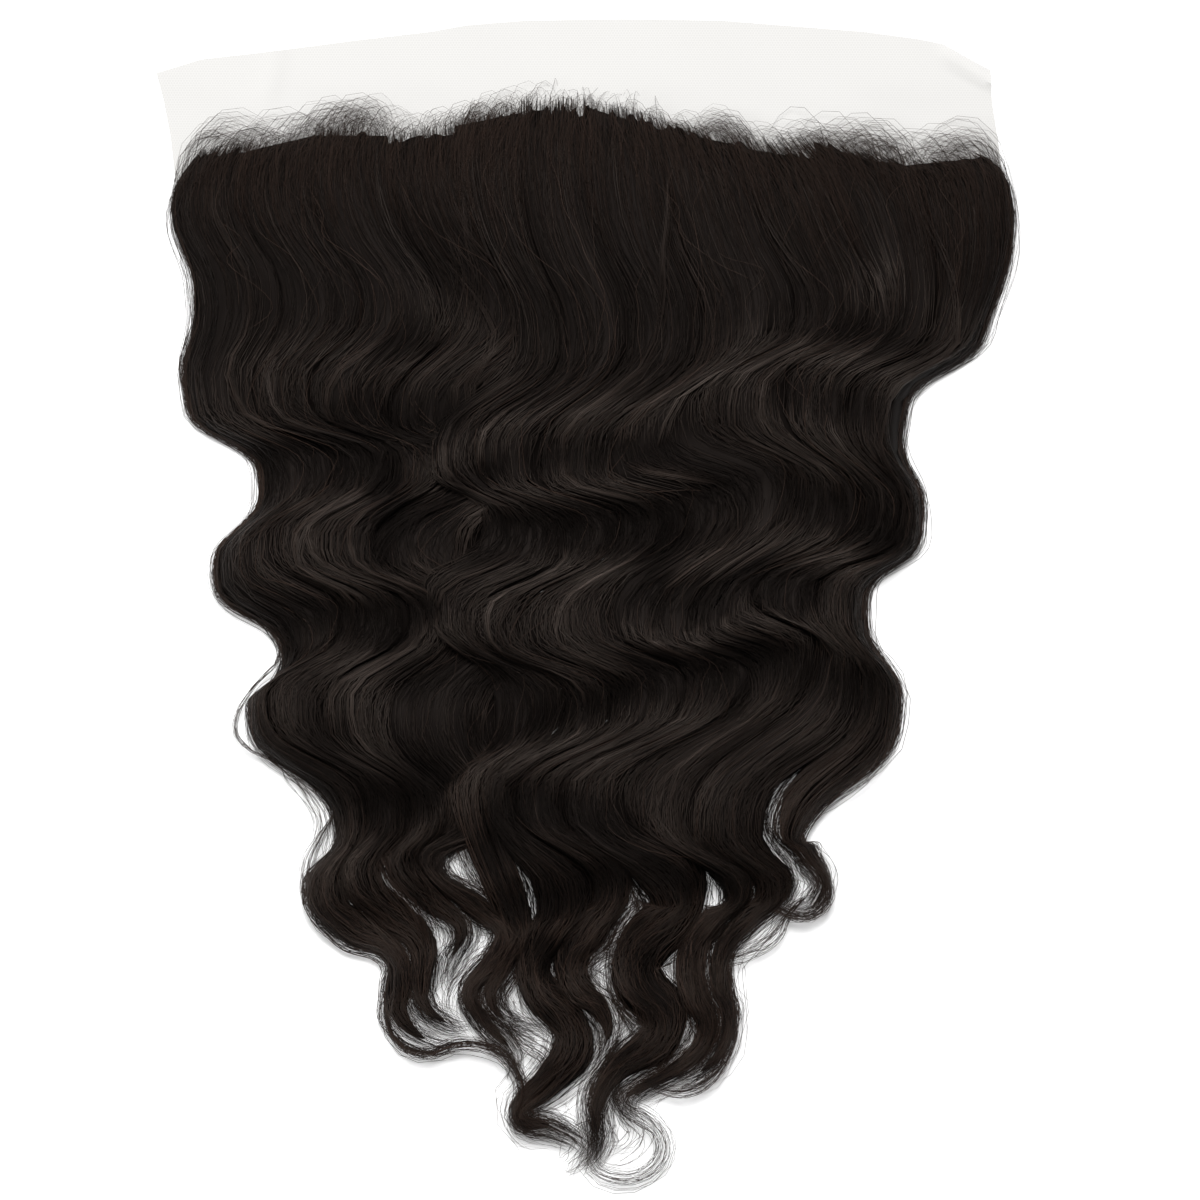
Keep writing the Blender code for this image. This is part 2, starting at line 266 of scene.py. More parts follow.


# Where the laid waves stand up in ridges (strength above 0) and sink in hollows (below 0):
# strength, half width, and the line they follow. Besides the heights, they set the strands' gloss,
# with a painted highlight on the ridges and painted shade in the hollows.
RELIEF = (
    (0.5, 10, ((-130, 92), (-100, 98), (-92, 88))),
    (0.8, 6, ((-66, 116), (-50, 108), (-40, 98), (-33, 90))),
    (0.5, 5, ((-72, 92), (-58, 88))),
    (0.9, 4.5, (
        (-60, 48), (-48, 56), (-35, 64), (-15, 70), (10, 71), (32, 71), (45, 80), (58, 92), (70, 104))),
    (0.8, 5, ((-68, 46), (-60, 44))),
    (0.5, 8, ((-148, 70), (-128, 66))),
    (0.7, 5, ((-50, 28), (-44, 36), (-30, 42), (-15, 42), (10, 44), (35, 46))),
    (0.5, 8, ((60, 90), (68, 70), (72, 62))),
    (0.8, 6, ((84, 96), (100, 92), (115, 90), (130, 84))),
    (0.8, 7, ((112, 120), (124, 130))),
    (0.6, 9, ((135, 115), (148, 105))),
    (0.6, 8, ((85, 66), (105, 60), (95, 52))),
    (0.6, 5, ((-120, 38), (-100, 38), (-88, 36))),
    (0.6, 12, ((-130, 12), (-110, 12), (-95, 6))),
    (0.5, 8, ((-78, 12), (-60, 6))),
    (1.0, 4.5, ((-42, -14), (-40, 0), (-30, 10), (-12, 12), (5, 10), (16, 8))),
    (0.6, 12, ((-20, -14), (-5, -12), (0, -22))),
    (0.9, 4.5, ((42, 14), (52, 12), (62, 16), (72, 25), (82, 24), (95, 20), (105, 12))),
    (1.0, 3.8, ((18, -16), (26, -18), (45, -18), (55, -14), (64, -8), (75, -12), (88, -14))),
    (0.6, 7, ((95, -14), (98, -10), (104, -22))),
    (0.7, 5, ((-66, -20), (-52, -14))),
    (0.5, 6, ((-106, -20), (-92, -28))),
    (0.6, 9, ((-95, -38), (-82, -50), (-84, -60))),
    (0.5, 8, ((-120, -52), (-124, -42))),
    (0.8, 4.5, ((-42, -70), (-28, -62), (-10, -60), (8, -54), (20, -50), (35, -50), (50, -48))),
    (0.5, 8, ((-12, -68), (5, -70), (12, -76))),
    (0.6, 4, ((-70, -97), (-58, -88), (-46, -76))),
    (0.5, 8, ((75, -44), (90, -52), (100, -56))),
    (0.6, 5, ((48, -78), (46, -88))),
    (0.5, 8, ((-96, -98), (-98, -112))),
    (0.4, 5, ((28, -88), (38, -106))),
    (-1.0, 8, ((-90, 72), (-75, 68), (-58, 70))),
    (-0.8, 7, ((-125, 55), (-105, 54), (-88, 52), (-78, 44), (-82, 34))),
    (-1.2, 8, ((-80, 18), (-70, 26), (-58, 28))),
    (-0.8, 5, ((-50, 42), (-35, 50), (-15, 55), (10, 56), (30, 58))),
    (-0.8, 7, ((-32, 25), (-15, 24), (5, 28), (30, 30), (38, 24), (28, 12))),
    (-1.0, 5.5, ((52, 42), (66, 42), (80, 38), (95, 34), (110, 28), (122, 22))),
    (-0.7, 5, ((78, 80), (95, 76), (112, 74))),
    (-1.1, 7, ((18, 0), (32, -6), (46, -6), (58, 2), (68, 8), (80, 2), (86, 0))),
    (-1.0, 6, ((30, -30), (50, -28), (62, -28), (72, -24), (90, -28), (110, -36))),
    (-0.7, 6, ((-115, -8), (-95, -8), (-75, -14), (-62, -4))),
    (-1.0, 6, ((-68, -38), (-55, -34), (-45, -32), (-30, -32))),
    (-1.0, 4.5, ((-28, -56), (-12, -50), (5, -46), (18, -40))),
    (-0.8, 5, ((-45, -56), (-38, -62))),
    (-0.7, 5, ((-62, -70), (-52, -72))),
    (-0.6, 7, ((-82, -84), (-65, -86))),
    (-1.2, 7, ((-36, -100), (-28, -84), (-14, -82), (2, -86), (10, -90))),
    (-1.0, 6, ((-30, -124), (-10, -122), (5, -114), (12, -112))),
    (-0.8, 7, ((30, -110), (44, -114), (54, -116))),
    (-0.5, 5, ((-82, 100), (-68, 98))),
    (-0.4, 6, ((-150, 100), (-142, 106))),
    (-0.5, 5, ((100, 106), (120, 104))),
    (-0.8, 6, ((-15, -150), (-14, -140))),
    (-0.6, 7, ((20, -148), (26, -156))),
    (-0.6, 5, ((-70, -105), (-60, -106))),
)
RELIEF_RISE = 2.4

# Loose bundles beside the locks: their height, width and number of strands, and the line they follow
Wisp = namedtuple("Wisp", "name height spread strands line")

WISPS = (
    Wisp("left_loop", 6, 1.0, 14, (
        (-138, 4), (-127, -12), (-122, -24), (-132, -36), (-139.5, -50), (-136, -60), (-124, -66.5),
        (-114, -76), (-104, -84))),
    Wisp("left_notch", 5, 4.5, 16, (
        (-138, 2), (-128, -10), (-118, -20), (-116, -28), (-122, -38), (-128, -48))),
    Wisp("left_hem", 6, 4.0, 16, (
        (-126, -56), (-118, -68), (-109, -80), (-104, -90), (-106, -100), (-104, -110))),
    Wisp("left_bulge", 7, 2.5, 20, (
        (-98, -84), (-105, -95), (-111, -108.5), (-109, -124.5), (-102, -134), (-89, -136), (-78, -140.5))),
    Wisp("left_outline", 8, 3.2, 64, (
        (-78, -146), (-80, -164.5), (-75.5, -178), (-63.5, -183), (-51.5, -179), (-38, -180.5),
        (-29, -187), (-25, -199), (-29, -210), (-22, -215), (-9, -218), (-1, -223))),
    Wisp("left_cover", 11, 4.5, 56, (
        (-88, -88), (-84, -100), (-76, -114), (-66, -128), (-63, -142), (-66, -156))),
    Wisp("gap_left", 7, 7.0, 44, ((-58, -88), (-50, -100), (-42, -112), (-32, -124), (-28, -134))),
    Wisp("gap_bend", 6, 7.0, 44, ((-46, -120), (-34, -138), (-43, -150), (-52, -160), (-50, -172))),
    Wisp("gap_low", 6, 5.0, 34, ((-20, -146), (-30, -156), (-33, -164), (-26, -170), (-12, -173))),
    Wisp("gap_middle", 7, 7.0, 46, (
        (12, -106), (20, -116), (28, -124), (18, -136), (2, -146), (-1, -154), (10, -162))),
    Wisp("right_cover", 12, 3.5, 46, (
        (54, -124), (48, -138), (47, -154), (53, -168), (49, -182), (38, -192))),
    Wisp("gap_right", 7, 7.0, 40, ((10, -160), (20, -174), (28, -182), (26, -188), (14, -190))),
    Wisp("gap_tip", 6, 6.0, 36, ((-32, -170), (-26, -178), (-16, -186), (-18, -196), (-24, -204))),
    Wisp("right_curl", 8, 2.6, 54, (
        (112, -66), (98, -79), (87, -90), (87, -100.5), (96.5, -114), (95, -124.5), (84.5, -128.5),
        (71, -123), (60.5, -122), (52.5, -130), (50, -143))),
    Wisp("right_fan", 7, 4.5, 32, (
        (88, -120), (80, -128), (75, -136), (66, -142), (54.5, -146.5), (48, -156))),
    Wisp("right_outline", 8, 3.0, 42, (
        (56, -140), (56.5, -148.5), (59, -164.5), (56.5, -180.5), (50, -192.5), (39, -198),
        (28.5, -196.5), (18, -195))),
    Wisp("tip_curl", 7, 5.0, 34, (
        (12, -180), (12, -192), (14, -203), (22, -209), (29, -215), (29.5, -224), (22, -231),
        (11, -232), (3, -227), (5, -219), (12, -214))),
    Wisp("tip_mass", 7, 5.0, 84, (
        (-10, -178), (-14, -190), (-22, -199), (-22, -208), (-12, -212), (-3, -217), (3, -224))),
    Wisp("tip_join", 7, 5.0, 56, (
        (14, -176), (8, -188), (3, -200), (4, -210), (6, -218), (1, -226), (-4, -229))),
    Wisp("tip_inside", 4, 8.0, 16, ((8, -198), (16, -207), (22, -214), (16, -222), (6, -226))),
    Wisp("tip_fuzz", 4, 8.0, 20, ((4, -208), (0, -216), (-5, -226), (-10, -230))),
    Wisp("right_veil", 8, 8.0, 60, (
        (104, -8), (113, -22), (118, -36), (116, -52), (110, -66), (94, -76), (80, -84),
        (76, -96), (70, -110))),
    Wisp("right_drop", 7, 5.0, 24, ((70, -86), (73, -98), (80, -110), (82, -122))),
)


def smooth_line(points, roundness=ROUNDNESS):
    """A smooth line through points: each point, and the direction in which the line passes it."""
    points = np.asarray(points, float)
    slopes = np.empty_like(points)
    slopes[1:-1] = (points[2:] - points[:-2]) * 0.5 * roundness
    slopes[0] = points[1] - points[0]
    slopes[-1] = points[-1] - points[-2]
    return points, slopes


def along_line(line, phase):
    """Points of a smooth line at phases, which count its points from 0."""
    points, slopes = line
    index = np.clip(phase.astype(int), 0, len(points) - 2)
    step = (phase - index)[..., None]
    ease = step * step * (3.0 - 2.0 * step)
    leave = step * (1.0 - step) ** 2
    arrive = step * step * (step - 1.0)
    bent = points[index] * (1.0 - ease) + points[index + 1] * ease
    return bent + slopes[index] * leave + slopes[index + 1] * arrive


def swept_line(line, phase, tail_from, sway):
    """Like along_line, but swinging further and faster from side to side between its bends."""
    spots = along_line(line, phase)
    index = np.floor(phase)
    step = phase - index
    gate = ease_in((phase - 1.1) / 1.4) * (1.0 - ease_in((phase - tail_from + 1.2) / 1.8))
    late = index + step + (ease_in(step) - step) * SWEEP * gate
    spots[..., 0] = along_line(line, late)[..., 0] + sway * gate * np.cos(pi * late)
    return spots


def blend_table(table, place):
    """Values of an evenly spaced table at places counted in its rows, straight on before its start."""
    low = np.clip(place.astype(int), 0, len(table) - 2)
    step = place - low
    if table.ndim > 1:
        step = step[..., None]
    return table[low] * (1.0 - step) + table[low + 1] * step


def ease_in(value):
    value = np.clip(value, 0.0, 1.0)
    return value * value * (3.0 - 2.0 * value)


class LockForm:
    """The run of one lock: its two edges and its height, sampled finely from hairline to tip."""

    def __init__(self, number, lock):
        self.number = number
        self.name = lock.name
        self.tail_from = lock.tail_from
        left, right = smooth_line(GUIDES[lock.left]), smooth_line(GUIDES[lock.right])
        middle = list((left[0][:lock.tail_from] + right[0][:lock.tail_from]) / 2)
        middle = np.array(middle + [(bend.across, bend.along) for bend in lock.tail])
        run = np.empty_like(middle)
        run[1:-1] = middle[2:] - middle[:-2]
        run[0], run[-1] = middle[1] - middle[0], middle[-1] - middle[-2]
        run /= np.linalg.norm(run, axis=1)[:, None]
        side = np.stack([-run[:, 1], run[:, 0]], 1)
        half = np.array([bend.width / 2 * TAIL_FULLNESS + 0.8 for bend in lock.tail])[:, None]
        rails = []
        for rail, sign in ((left, -1.0), (right, 1.0)):
            ends = middle[lock.tail_from:] + sign * side[lock.tail_from:] * half
            whole = smooth_line(np.concatenate([rail[0][:lock.tail_from], ends]))
            whole[1][:lock.tail_from] = rail[1][:lock.tail_from]
            rails.append(whole)
        self.folds = len(middle) - 1
        self.phases = np.linspace(0, self.folds, self.folds * STATIONS + 1)
        sways = [SWAY * min(min(side, len(LOCKS) - side) / 2.5, 1.0) for side in (number, number + 1)]
        self.left = swept_line(rails[0], self.phases, lock.tail_from, sways[0])
        self.right = swept_line(rails[1], self.phases, lock.tail_from, sways[1])
        rises = [FOLD_HEIGHTS[fold] + (lock.lift if fold > 1 else 0.0) for fold in range(lock.tail_from)]
        rises += [bend.height for bend in lock.tail]
        self.height = along_line(smooth_line(np.array(rises)[:, None], 1.0), self.phases)[:, 0]
        tail = np.clip(self.phases - lock.tail_from + 1.0, 0.0, 1.0)
        first, last = (OUTER_SHOULDER if lock is LOCKS[end] else INNER_SHOULDER for end in (0, -1))
        if lock.right == "parting_under":
            last = TUCKED_SHOULDER
        self.shoulder_left = first + (TAIL_SHOULDER - first) * tail
        self.shoulder_right = last + (TAIL_SHOULDER - last) * tail
        self.width = np.linalg.norm(self.right - self.left, axis=1)
        centre = (self.left + self.right) / 2
        length = np.concatenate([[0], np.cumsum(np.linalg.norm(np.diff(centre, axis=0), axis=1))])
        self.pace = 0.5 * self.phases / self.folds + 0.5 * length / length[-1]

    def phases_between(self, start, end, step):
        """Phases at steps of the way from start to end, closer together where the lock runs slowly."""
        before = 0.06
        first = np.interp(start, self.phases, self.pace) + np.minimum(start, 0.0) * before
        last = np.interp(end, self.phases, self.pace)
        pace = first[:, None] + (last - first)[:, None] * step
        return np.interp(pace, self.pace, self.phases) + np.minimum(pace, 0.0) / before

    def wide(self, phase):
        return blend_table(self.width, phase * STATIONS)

    def place(self, share, phase):
        """Points on the hair's top, at shares of the way from its left edge to its right edge."""
        row = phase * STATIONS
        left, right = blend_table(self.left, row), blend_table(self.right, row)
        plan = left + (right - left) * share[..., None]
        rise = np.maximum(blend_table(self.height, row), 0.3)
        inside = np.clip(share, 0.0, 1.0)
        past = np.abs(share - inside) * np.linalg.norm(right - left, axis=-1)
        low = blend_table(self.shoulder_left, row) * (1 - inside)
        low = low + blend_table(self.shoulder_right, row) * inside
        crown = 1.0 - np.abs(2.0 * inside - 1.0) ** CROWN_POWER
        ridge = RIDGE * crown * np.sin(2 * pi * RIDGES_ACROSS * inside + self.number + RIDGE_TURN * phase)
        floor = underside(plan[..., 1])
        top = floor + rise * (low + (1.0 - low) * crown + ridge) - past * 0.7
        top = top + RELIEF_RISE * relief(plan) * np.clip(rise / 12.0 - 0.2, 0.0, 1.0)
        return np.concatenate([plan, np.maximum(top, floor + 0.4)[..., None]], -1), floor


def underside(along):
    """Height of the hair's underside: on the lace, and past its back edge on the floor."""
    past = (LACE_BACK - along - HEM_DROP_START) / (HEM_DROP_END - HEM_DROP_START)
    return LACE_TOP * (1.0 - np.clip(past, 0.0, 1.0))


def relief(plan):
    """How far the waves stand up (to 1) or sink (to -1) at points seen from above."""
    spots = plan.reshape(-1, 2)
    total = np.zeros(len(spots))
    for strength, half, line in RELIEF:
        line = np.array(line, float)
        low, high = line.min(0) - 2.5 * half, line.max(0) + 2.5 * half
        near = np.flatnonzero(((spots > low) & (spots < high)).all(1))
        least = np.full(len(near), 1e9)
        for start, end in zip(line[:-1], line[1:]):
            run = end - start
            gone = spots[near] - start
            at = np.clip(gone @ run / (run @ run), 0.0, 1.0)
            least = np.minimum(least, ((gone - at[:, None] * run) ** 2).sum(1))
        total[near] += strength * np.exp(-least / half ** 2)
    return np.clip(total, -1.1, 1.1).reshape(plan.shape[:-1])


def drift(rng, rows, knots, share, row_of=None):
    """A smooth random value from -1 to 1 for each row, at shares of the way along it."""
    table = rng.uniform(-1.0, 1.0, (rows, knots + 1))
    spot = np.clip(share, 0.0, 1.0) * knots
    low = np.minimum(spot.astype(int), knots - 1)
    step = ease_in(spot - low)
    row = (np.arange(rows) if row_of is None else row_of)[:, None]
    return table[row, low] * (1.0 - step) + table[row, low + 1] * step


class HairMesh:
    """Gathers tubes of hair and makes them one mesh."""

    def __init__(self):
        self.points, self.tones, self.gloss, self.quads, self.uvs, self.slots = [], [], [], [], [], []
        self.count = 0

    def add(self, grid, tone, gloss, columns, slot=0):
        """Adds tubes: grid is (tubes, along, round, 3), with end rings drawn together or folded flat."""
        tubes, rows, sides, _ = grid.shape
        index = self.count + np.arange(tubes * rows * sides).reshape(tubes, rows, sides)
        after = np.roll(index, -1, 2)
        quads = np.stack([index[:, :-1], index[:, 1:], after[:, 1:], after[:, :-1]], -1)
        across = columns[0] + (columns[1] - columns[0]) * np.arange(tubes) / tubes
        pitch = (columns[1] - columns[0]) / tubes * 0.9 / sides
        u_low = across[:, None, None] + pitch * np.arange(sides) + np.zeros((1, rows - 1, 1))
        v_low = np.broadcast_to((np.arange(rows - 1) / (rows - 1))[None, :, None], u_low.shape)
        v_high = v_low + 1.0 / (rows - 1)
        uv = np.stack([
            np.stack([u_low, v_low], -1), np.stack([u_low, v_high], -1),
            np.stack([u_low + pitch, v_high], -1), np.stack([u_low + pitch, v_low], -1)], -2)
        self.points.append(grid.reshape(-1, 3))
        self.tones.append(np.broadcast_to(tone, (tubes, rows, sides)).reshape(-1))
        self.gloss.append(np.broadcast_to(gloss, (tubes, rows, sides)).reshape(-1))
        self.quads.append(quads.reshape(-1, 4))
        self.slots.append(np.full(quads.size // 4, slot, np.int32))
        self.uvs.append(uv.reshape(-1, 2))
        self.count += tubes * rows * sides

    def add_strands(self, lines, radii, tone, gloss, columns):
        """Adds thin tubes round lines. Radii, tone, and gloss with its painted light vary by point or by
        strand, or are one value.
        """
        tone, gloss = np.asarray(tone)[..., None], np.asarray(gloss)[..., None]
        self.add(tubes_round(lines, radii), tone, gloss, columns)

    def make(self, name, *materials):
        points = np.concatenate(self.points) * MM
        quads = np.concatenate(self.quads)
        mesh = bpy.data.meshes.new(name)
        mesh.vertices.add(len(points))
        mesh.vertices.foreach_set("co", points.astype(np.float32).ravel())
        mesh.loops.add(quads.size)
        mesh.loops.foreach_set("vertex_index", quads.astype(np.int32).ravel())
        mesh.polygons.add(len(quads))
        mesh.polygons.foreach_set("loop_start", np.arange(0, quads.size, 4, dtype=np.int32))
        mesh.polygons.foreach_set("material_index", np.concatenate(self.slots))
        mesh.update(calc_edges=True)
        layer = mesh.uv_layers.new(name=UV_NAME)
        layer.uv.foreach_set("vector", np.concatenate(self.uvs).astype(np.float32).ravel())
        # Tone mixes the deep and brown colours; the second value sets roughness and a painted highlight and
        # painted shade in the colour
        for label, values in (("tone", self.tones), ("gloss", self.gloss)):
            kept = mesh.attributes.new(label, "FLOAT", "POINT")
            kept.data.foreach_set("value", np.concatenate(values).astype(np.float32))
        mesh.shade_smooth()
        for material in materials:
            mesh.materials.append(material)
        mesh.validate()
        piece = bpy.data.objects.new(name, mesh)
        bpy.context.scene.collection.objects.link(piece)
        return piece


def tubes_round(lines, radii, sides=3):
    """Thin tubes round lines (strands, points, 3), drawn together to a point at both ends."""
    lines = np.concatenate([lines[..., :2], np.maximum(lines[..., 2:], LEAST_HEIGHT)], -1)
    run = np.gradient(lines, axis=1)
    run /= np.maximum(np.linalg.norm(run, axis=2, keepdims=True), 1e-9)
    side = np.stack([run[..., 1], -run[..., 0], np.zeros(run.shape[:2])], -1)
    side /= np.maximum(np.linalg.norm(side, axis=2, keepdims=True), 1e-9)
    up = np.cross(side, run)
    turn = (pi / 2 + 2 * pi * np.arange(sides) / sides)[None, None, :, None]
    ring = side[:, :, None] * np.cos(turn) + up[:, :, None] * np.sin(turn)
    radii = np.broadcast_to(radii, lines.shape[:2]).copy()
    radii[:, [0, -1]] = END_RADIUS
    return lines[:, :, None] + ring * radii[..., None, None]


def spaced(points):
    """Shares along a strand, with a short first step so that it is full soon after its root."""
    return np.concatenate([[0.0], np.linspace(0.005, 1.0, points - 1)])[None, :]


def core_rings(form, settings):
    """Rings of the lock's dark inner body, under its outer form. The last lock's leaves room for a veil."""
    row = np.linspace(0.0, 1.0, form.folds * CORE_STEPS)[:, None]
    share = np.linspace(1.0, 0.0, CORE_ACROSS)[None, :]
    uneven = settings.clump_rng(form, 5).uniform(-1.0, 1.0, share.shape)
    front = hairline_start(form, share) + CORE_BACK + CORE_RAGGED * uneven
    last = form.folds - CORE_SHORT
    phase = front + (last - front) * row
    tail = ease_in((phase - form.tail_from + 1.0) / 1.5)
    keep = (CORE_WIDTH - CORE_NARROWING * tail) * np.clip((last - phase) / 2.5, 0.0, 1.0) ** 0.6
    veiled = ease_in((phase - 6.5) / 0.8) if form.number == len(LOCKS) - 1 else 0.0
    spread = 0.5 + 0.15 * veiled + (share - 0.5) * keep * (1.0 - 0.3 * veiled)
    top, floor = form.place(spread, phase)
    rise = top[..., 2] - floor
    rise = rise - CORE_DEPTH * np.minimum(1.0, rise / 7.0)
    rise = rise * (1.0 - 0.45 * tail) * (0.05 + 0.95 * ease_in((phase - front) / ROOT_RISE))
    top[..., 2] = floor + np.maximum(rise, 0.3)
    ends = top[:, [-1, 0]].copy()
    ends[..., 2] = underside(ends[..., 1]) + 0.05
    rings = np.concatenate([ends, top], 1)
    flat = rings[:1].copy()
    flat[0, 2:] = ends[0, 1] + (ends[0, 0] - ends[0, 1]) * (1.0 - share[0])[:, None]
    rings[-1] = rings[-1].mean(0)
    return np.concatenate([flat, rings])


def crest_share(phase):
    """1 on a crest of the wave and 0 in a hollow, with an even middle value near the roots. It feeds the
    strands' gloss and painted highlight, shifted along the wave by CREST_SHIFT.
    """
    wave = 0.5 - 0.5 * np.cos(pi * (phase + CREST_SHIFT))
    blend = ease_in((phase - 1.2) / 1.2)
    return 0.2 * (1.0 - blend) + wave ** 1.4 * blend


def comb_lock(form, rng, settings, points, start, end, layer):
    """Strands of one lock as lines, radii, tones, and gloss with painted highlight and shade. Strands gather
    in clumps that wander.
    """
    count, clumps = len(start), settings.clumps
    clump = rng.integers(0, clumps, count)
    own = rng.uniform(-1.0, 1.0, count)[:, None]
    layer = layer[:, None]
    step = spaced(points)
    phase = form.phases_between(start, end, step)
    way = phase / form.folds
    wide = form.wide(np.maximum(phase, 0.0))
    tail = ease_in((phase - form.tail_from + 1.5) / 3.0)

    def clump_drift(kind, knots):
        return drift(settings.clump_rng(form, kind), clumps, knots, way, clump)

    centre = ((clump + 0.5) / clumps)[:, None] + clump_drift(1, 12) * CLUMP_WANDER / clumps
    share = centre + own * (CLUMP_WIDTH / clumps * (1.0 + CLUMP_CHANGE * clump_drift(2, 9)))
    gather = 1.0 - TIP_GATHER * ease_in((way - 0.88) / 0.12)
    loose = (rng.random(count) < LOOSE_SHARE)[:, None]
    veil = np.where(loose, np.minimum(rng.exponential(VEIL, count), VEIL_LIMIT)[:, None], 0.0)
    share = 0.5 + (share - 0.5) * gather * (1.0 + veil * tail)
    side_drift = settings.stray * (1.0 + tail) + LOOSE_DRIFT * loose * tail
    share = share + drift(rng, count, 14, way) * side_drift / wide
    share = share + drift(rng, count, 40, way) * 0.25 * settings.stray / wide
    edge = (EDGE_IN_BODY + EDGE_IN_TAIL * tail) / wide
    low = -edge * (OUTER_EDGE if form.number == 0 else 1.0)
    high = 1.0 + edge * (OUTER_EDGE if form.number == len(LOCKS) - 1 else 1.0)
    share = np.clip(share, low, high)

    wander = ease_in((phase - 1.0) / 1.5) * (1.0 - tail)
    spots, floor = form.place(share, phase + 0.3 * clump_drift(4, 8) * wander)
    full = spots[..., 2] - floor
    calm = 0.3 + 0.7 * ease_in((phase - 0.6) / 1.6)
    lift = clump_drift(3, 10) * settings.clump_lift * calm - settings.clump_round * calm * own ** 2
    lift = lift + 0.35 * drift(rng, count, 16, way) - layer * LAYER_DEPTH
    height = np.maximum(full + lift * np.clip(full / FULL_LIFT_AT, 0.15, 1.0), LEAST_HEIGHT)
    since = phase - phase[:, :1]
    height = height * (0.12 + 0.88 * ease_in(since / ROOT_RISE))
    spots[..., 2] = floor + np.maximum(height, 0.2)

    to_tip = np.clip((1.0 - step) / 0.22, 0.0, 1.0)
    radii = settings.radius * (0.35 + 0.65 * to_tip) * rng.uniform(0.7, 1.2, (count, 1))
    radii = radii * (1.0 - LOOSE_THINNING * loose * tail) * (0.6 + 0.4 * ease_in(since / 0.25))
    tone = 0.5 * rng.beta(0.8, 4.0, (count, 1)) + 0.05 * drift(rng, count, 10, way)
    browned = (0.5 * loose + 0.4 * rng.beta(1.0, 2.5, (count, 1))) * tail
    # Lower layers get a darker tone: painted shade under the strands above. The brown in the tail is the
    # hair's own colour.
    tone = np.clip(tone * (1.0 - 0.7 * layer) + browned, 0.0, 1.0)
    moved = spots[..., :2] + 2.2 * np.stack([drift(rng, count, 5, way) for _ in (0, 1)], -1)
    # Gloss with painted light: more gloss and a painted highlight on crests and relief ridges, painted shade
    # in relief hollows and lower layers, painted highlight on tail crests
    gloss = 0.2 * crest_share(phase) + 0.17 + 0.95 * relief(moved) * ease_in(phase - 0.4)
    gloss = gloss * (1.0 - 0.4 * layer) + 0.14 * drift(rng, count, 12, way)
    gloss = gloss + rng.normal(0.0, 0.15, (count, 1)) * (1.0 - 0.5 * ease_in(phase - 2.0))
    gloss = gloss + (0.3 * loose + 0.35 * crest_share(phase)) * tail
    return spots, radii, tone, np.clip(gloss, 0.0, 1.0)


def hairline_start(form, share):
    """Phase at which hair at a share across a lock crosses the hairline."""
    first, _ = form.place(share, np.zeros_like(share))
    later, _ = form.place(share, np.full_like(share, 0.5))
    edge = np.array(HAIRLINE)
    line = np.interp(first[..., 0], edge[:, 0], edge[:, 1])
    return np.clip((first[..., 1] - line) / (first[..., 1] - later[..., 1]) * 0.5, -0.12, 0.5)


class HairSettings:
    """What the scene's own settings say, in the tables' units."""

    def __init__(self, kept):
        self.seed = kept.seed
        self.radius = kept.strand_width / 2 / MM / 0.87
        self.clumps = kept.clumps
        self.clump_lift = kept.clump_lift / MM
        self.clump_round = kept.clump_round / MM
        self.stray = kept.stray / MM

    def clump_rng(self, form, kind):
        return np.random.default_rng((self.seed, form.number, kind))


def forms():
    return [LockForm(number, lock) for number, lock in enumerate(LOCKS)]


def lock_body(form, settings, tail_strands, body_strands):
    """One lock: its dark core, strands that end at its tip, strands in its body, and short front ones."""
    rng = np.random.default_rng((settings.seed, 50 + form.number))
    gathered = HairMesh()
    gathered.add(core_rings(form, settings)[None], 0.1, 0.2, (0.0, 0.18), 1)
    left, column = 0.2, 0.26
    front_strands = int(body_strands * 0.8)
    batches = (tail_strands, TAIL_POINTS), (body_strands, BODY_POINTS), (front_strands, FRONT_POINTS)
    for count, points in batches:
        share = rng.uniform(0.0, 1.0, count)
        start = hairline_start(form, share)
        near = rng.gamma(1.6, 0.09, count) - 0.02
        if points == FRONT_POINTS:
            start = start + rng.uniform(0.0, 0.26, count)
            end = start + rng.uniform(0.5, 0.9, count)
            layer = rng.uniform(0.3, 1.0, count)
        elif points == TAIL_POINTS:
            start = form.tail_from - rng.uniform(0.5, 5.0, count)
            end = form.folds - np.minimum(np.abs(rng.normal(0.0, 0.9, count)), 3.2)
            layer = rng.random(count) ** 1.6 * 0.55
        else:
            back = rng.random(count) < 0.35
            start = start + np.where(back, rng.uniform(0.1, 2.0, count), near)
            end = form.tail_from + rng.uniform(-4.5, 1.5, count)
            layer = rng.random(count) ** 1.6
        spots, radii, tone, gloss = comb_lock(form, rng, settings, points, start, end, layer)
        gathered.add_strands(spots, radii, tone, gloss, (left, left + column))
        left += column
    return gathered


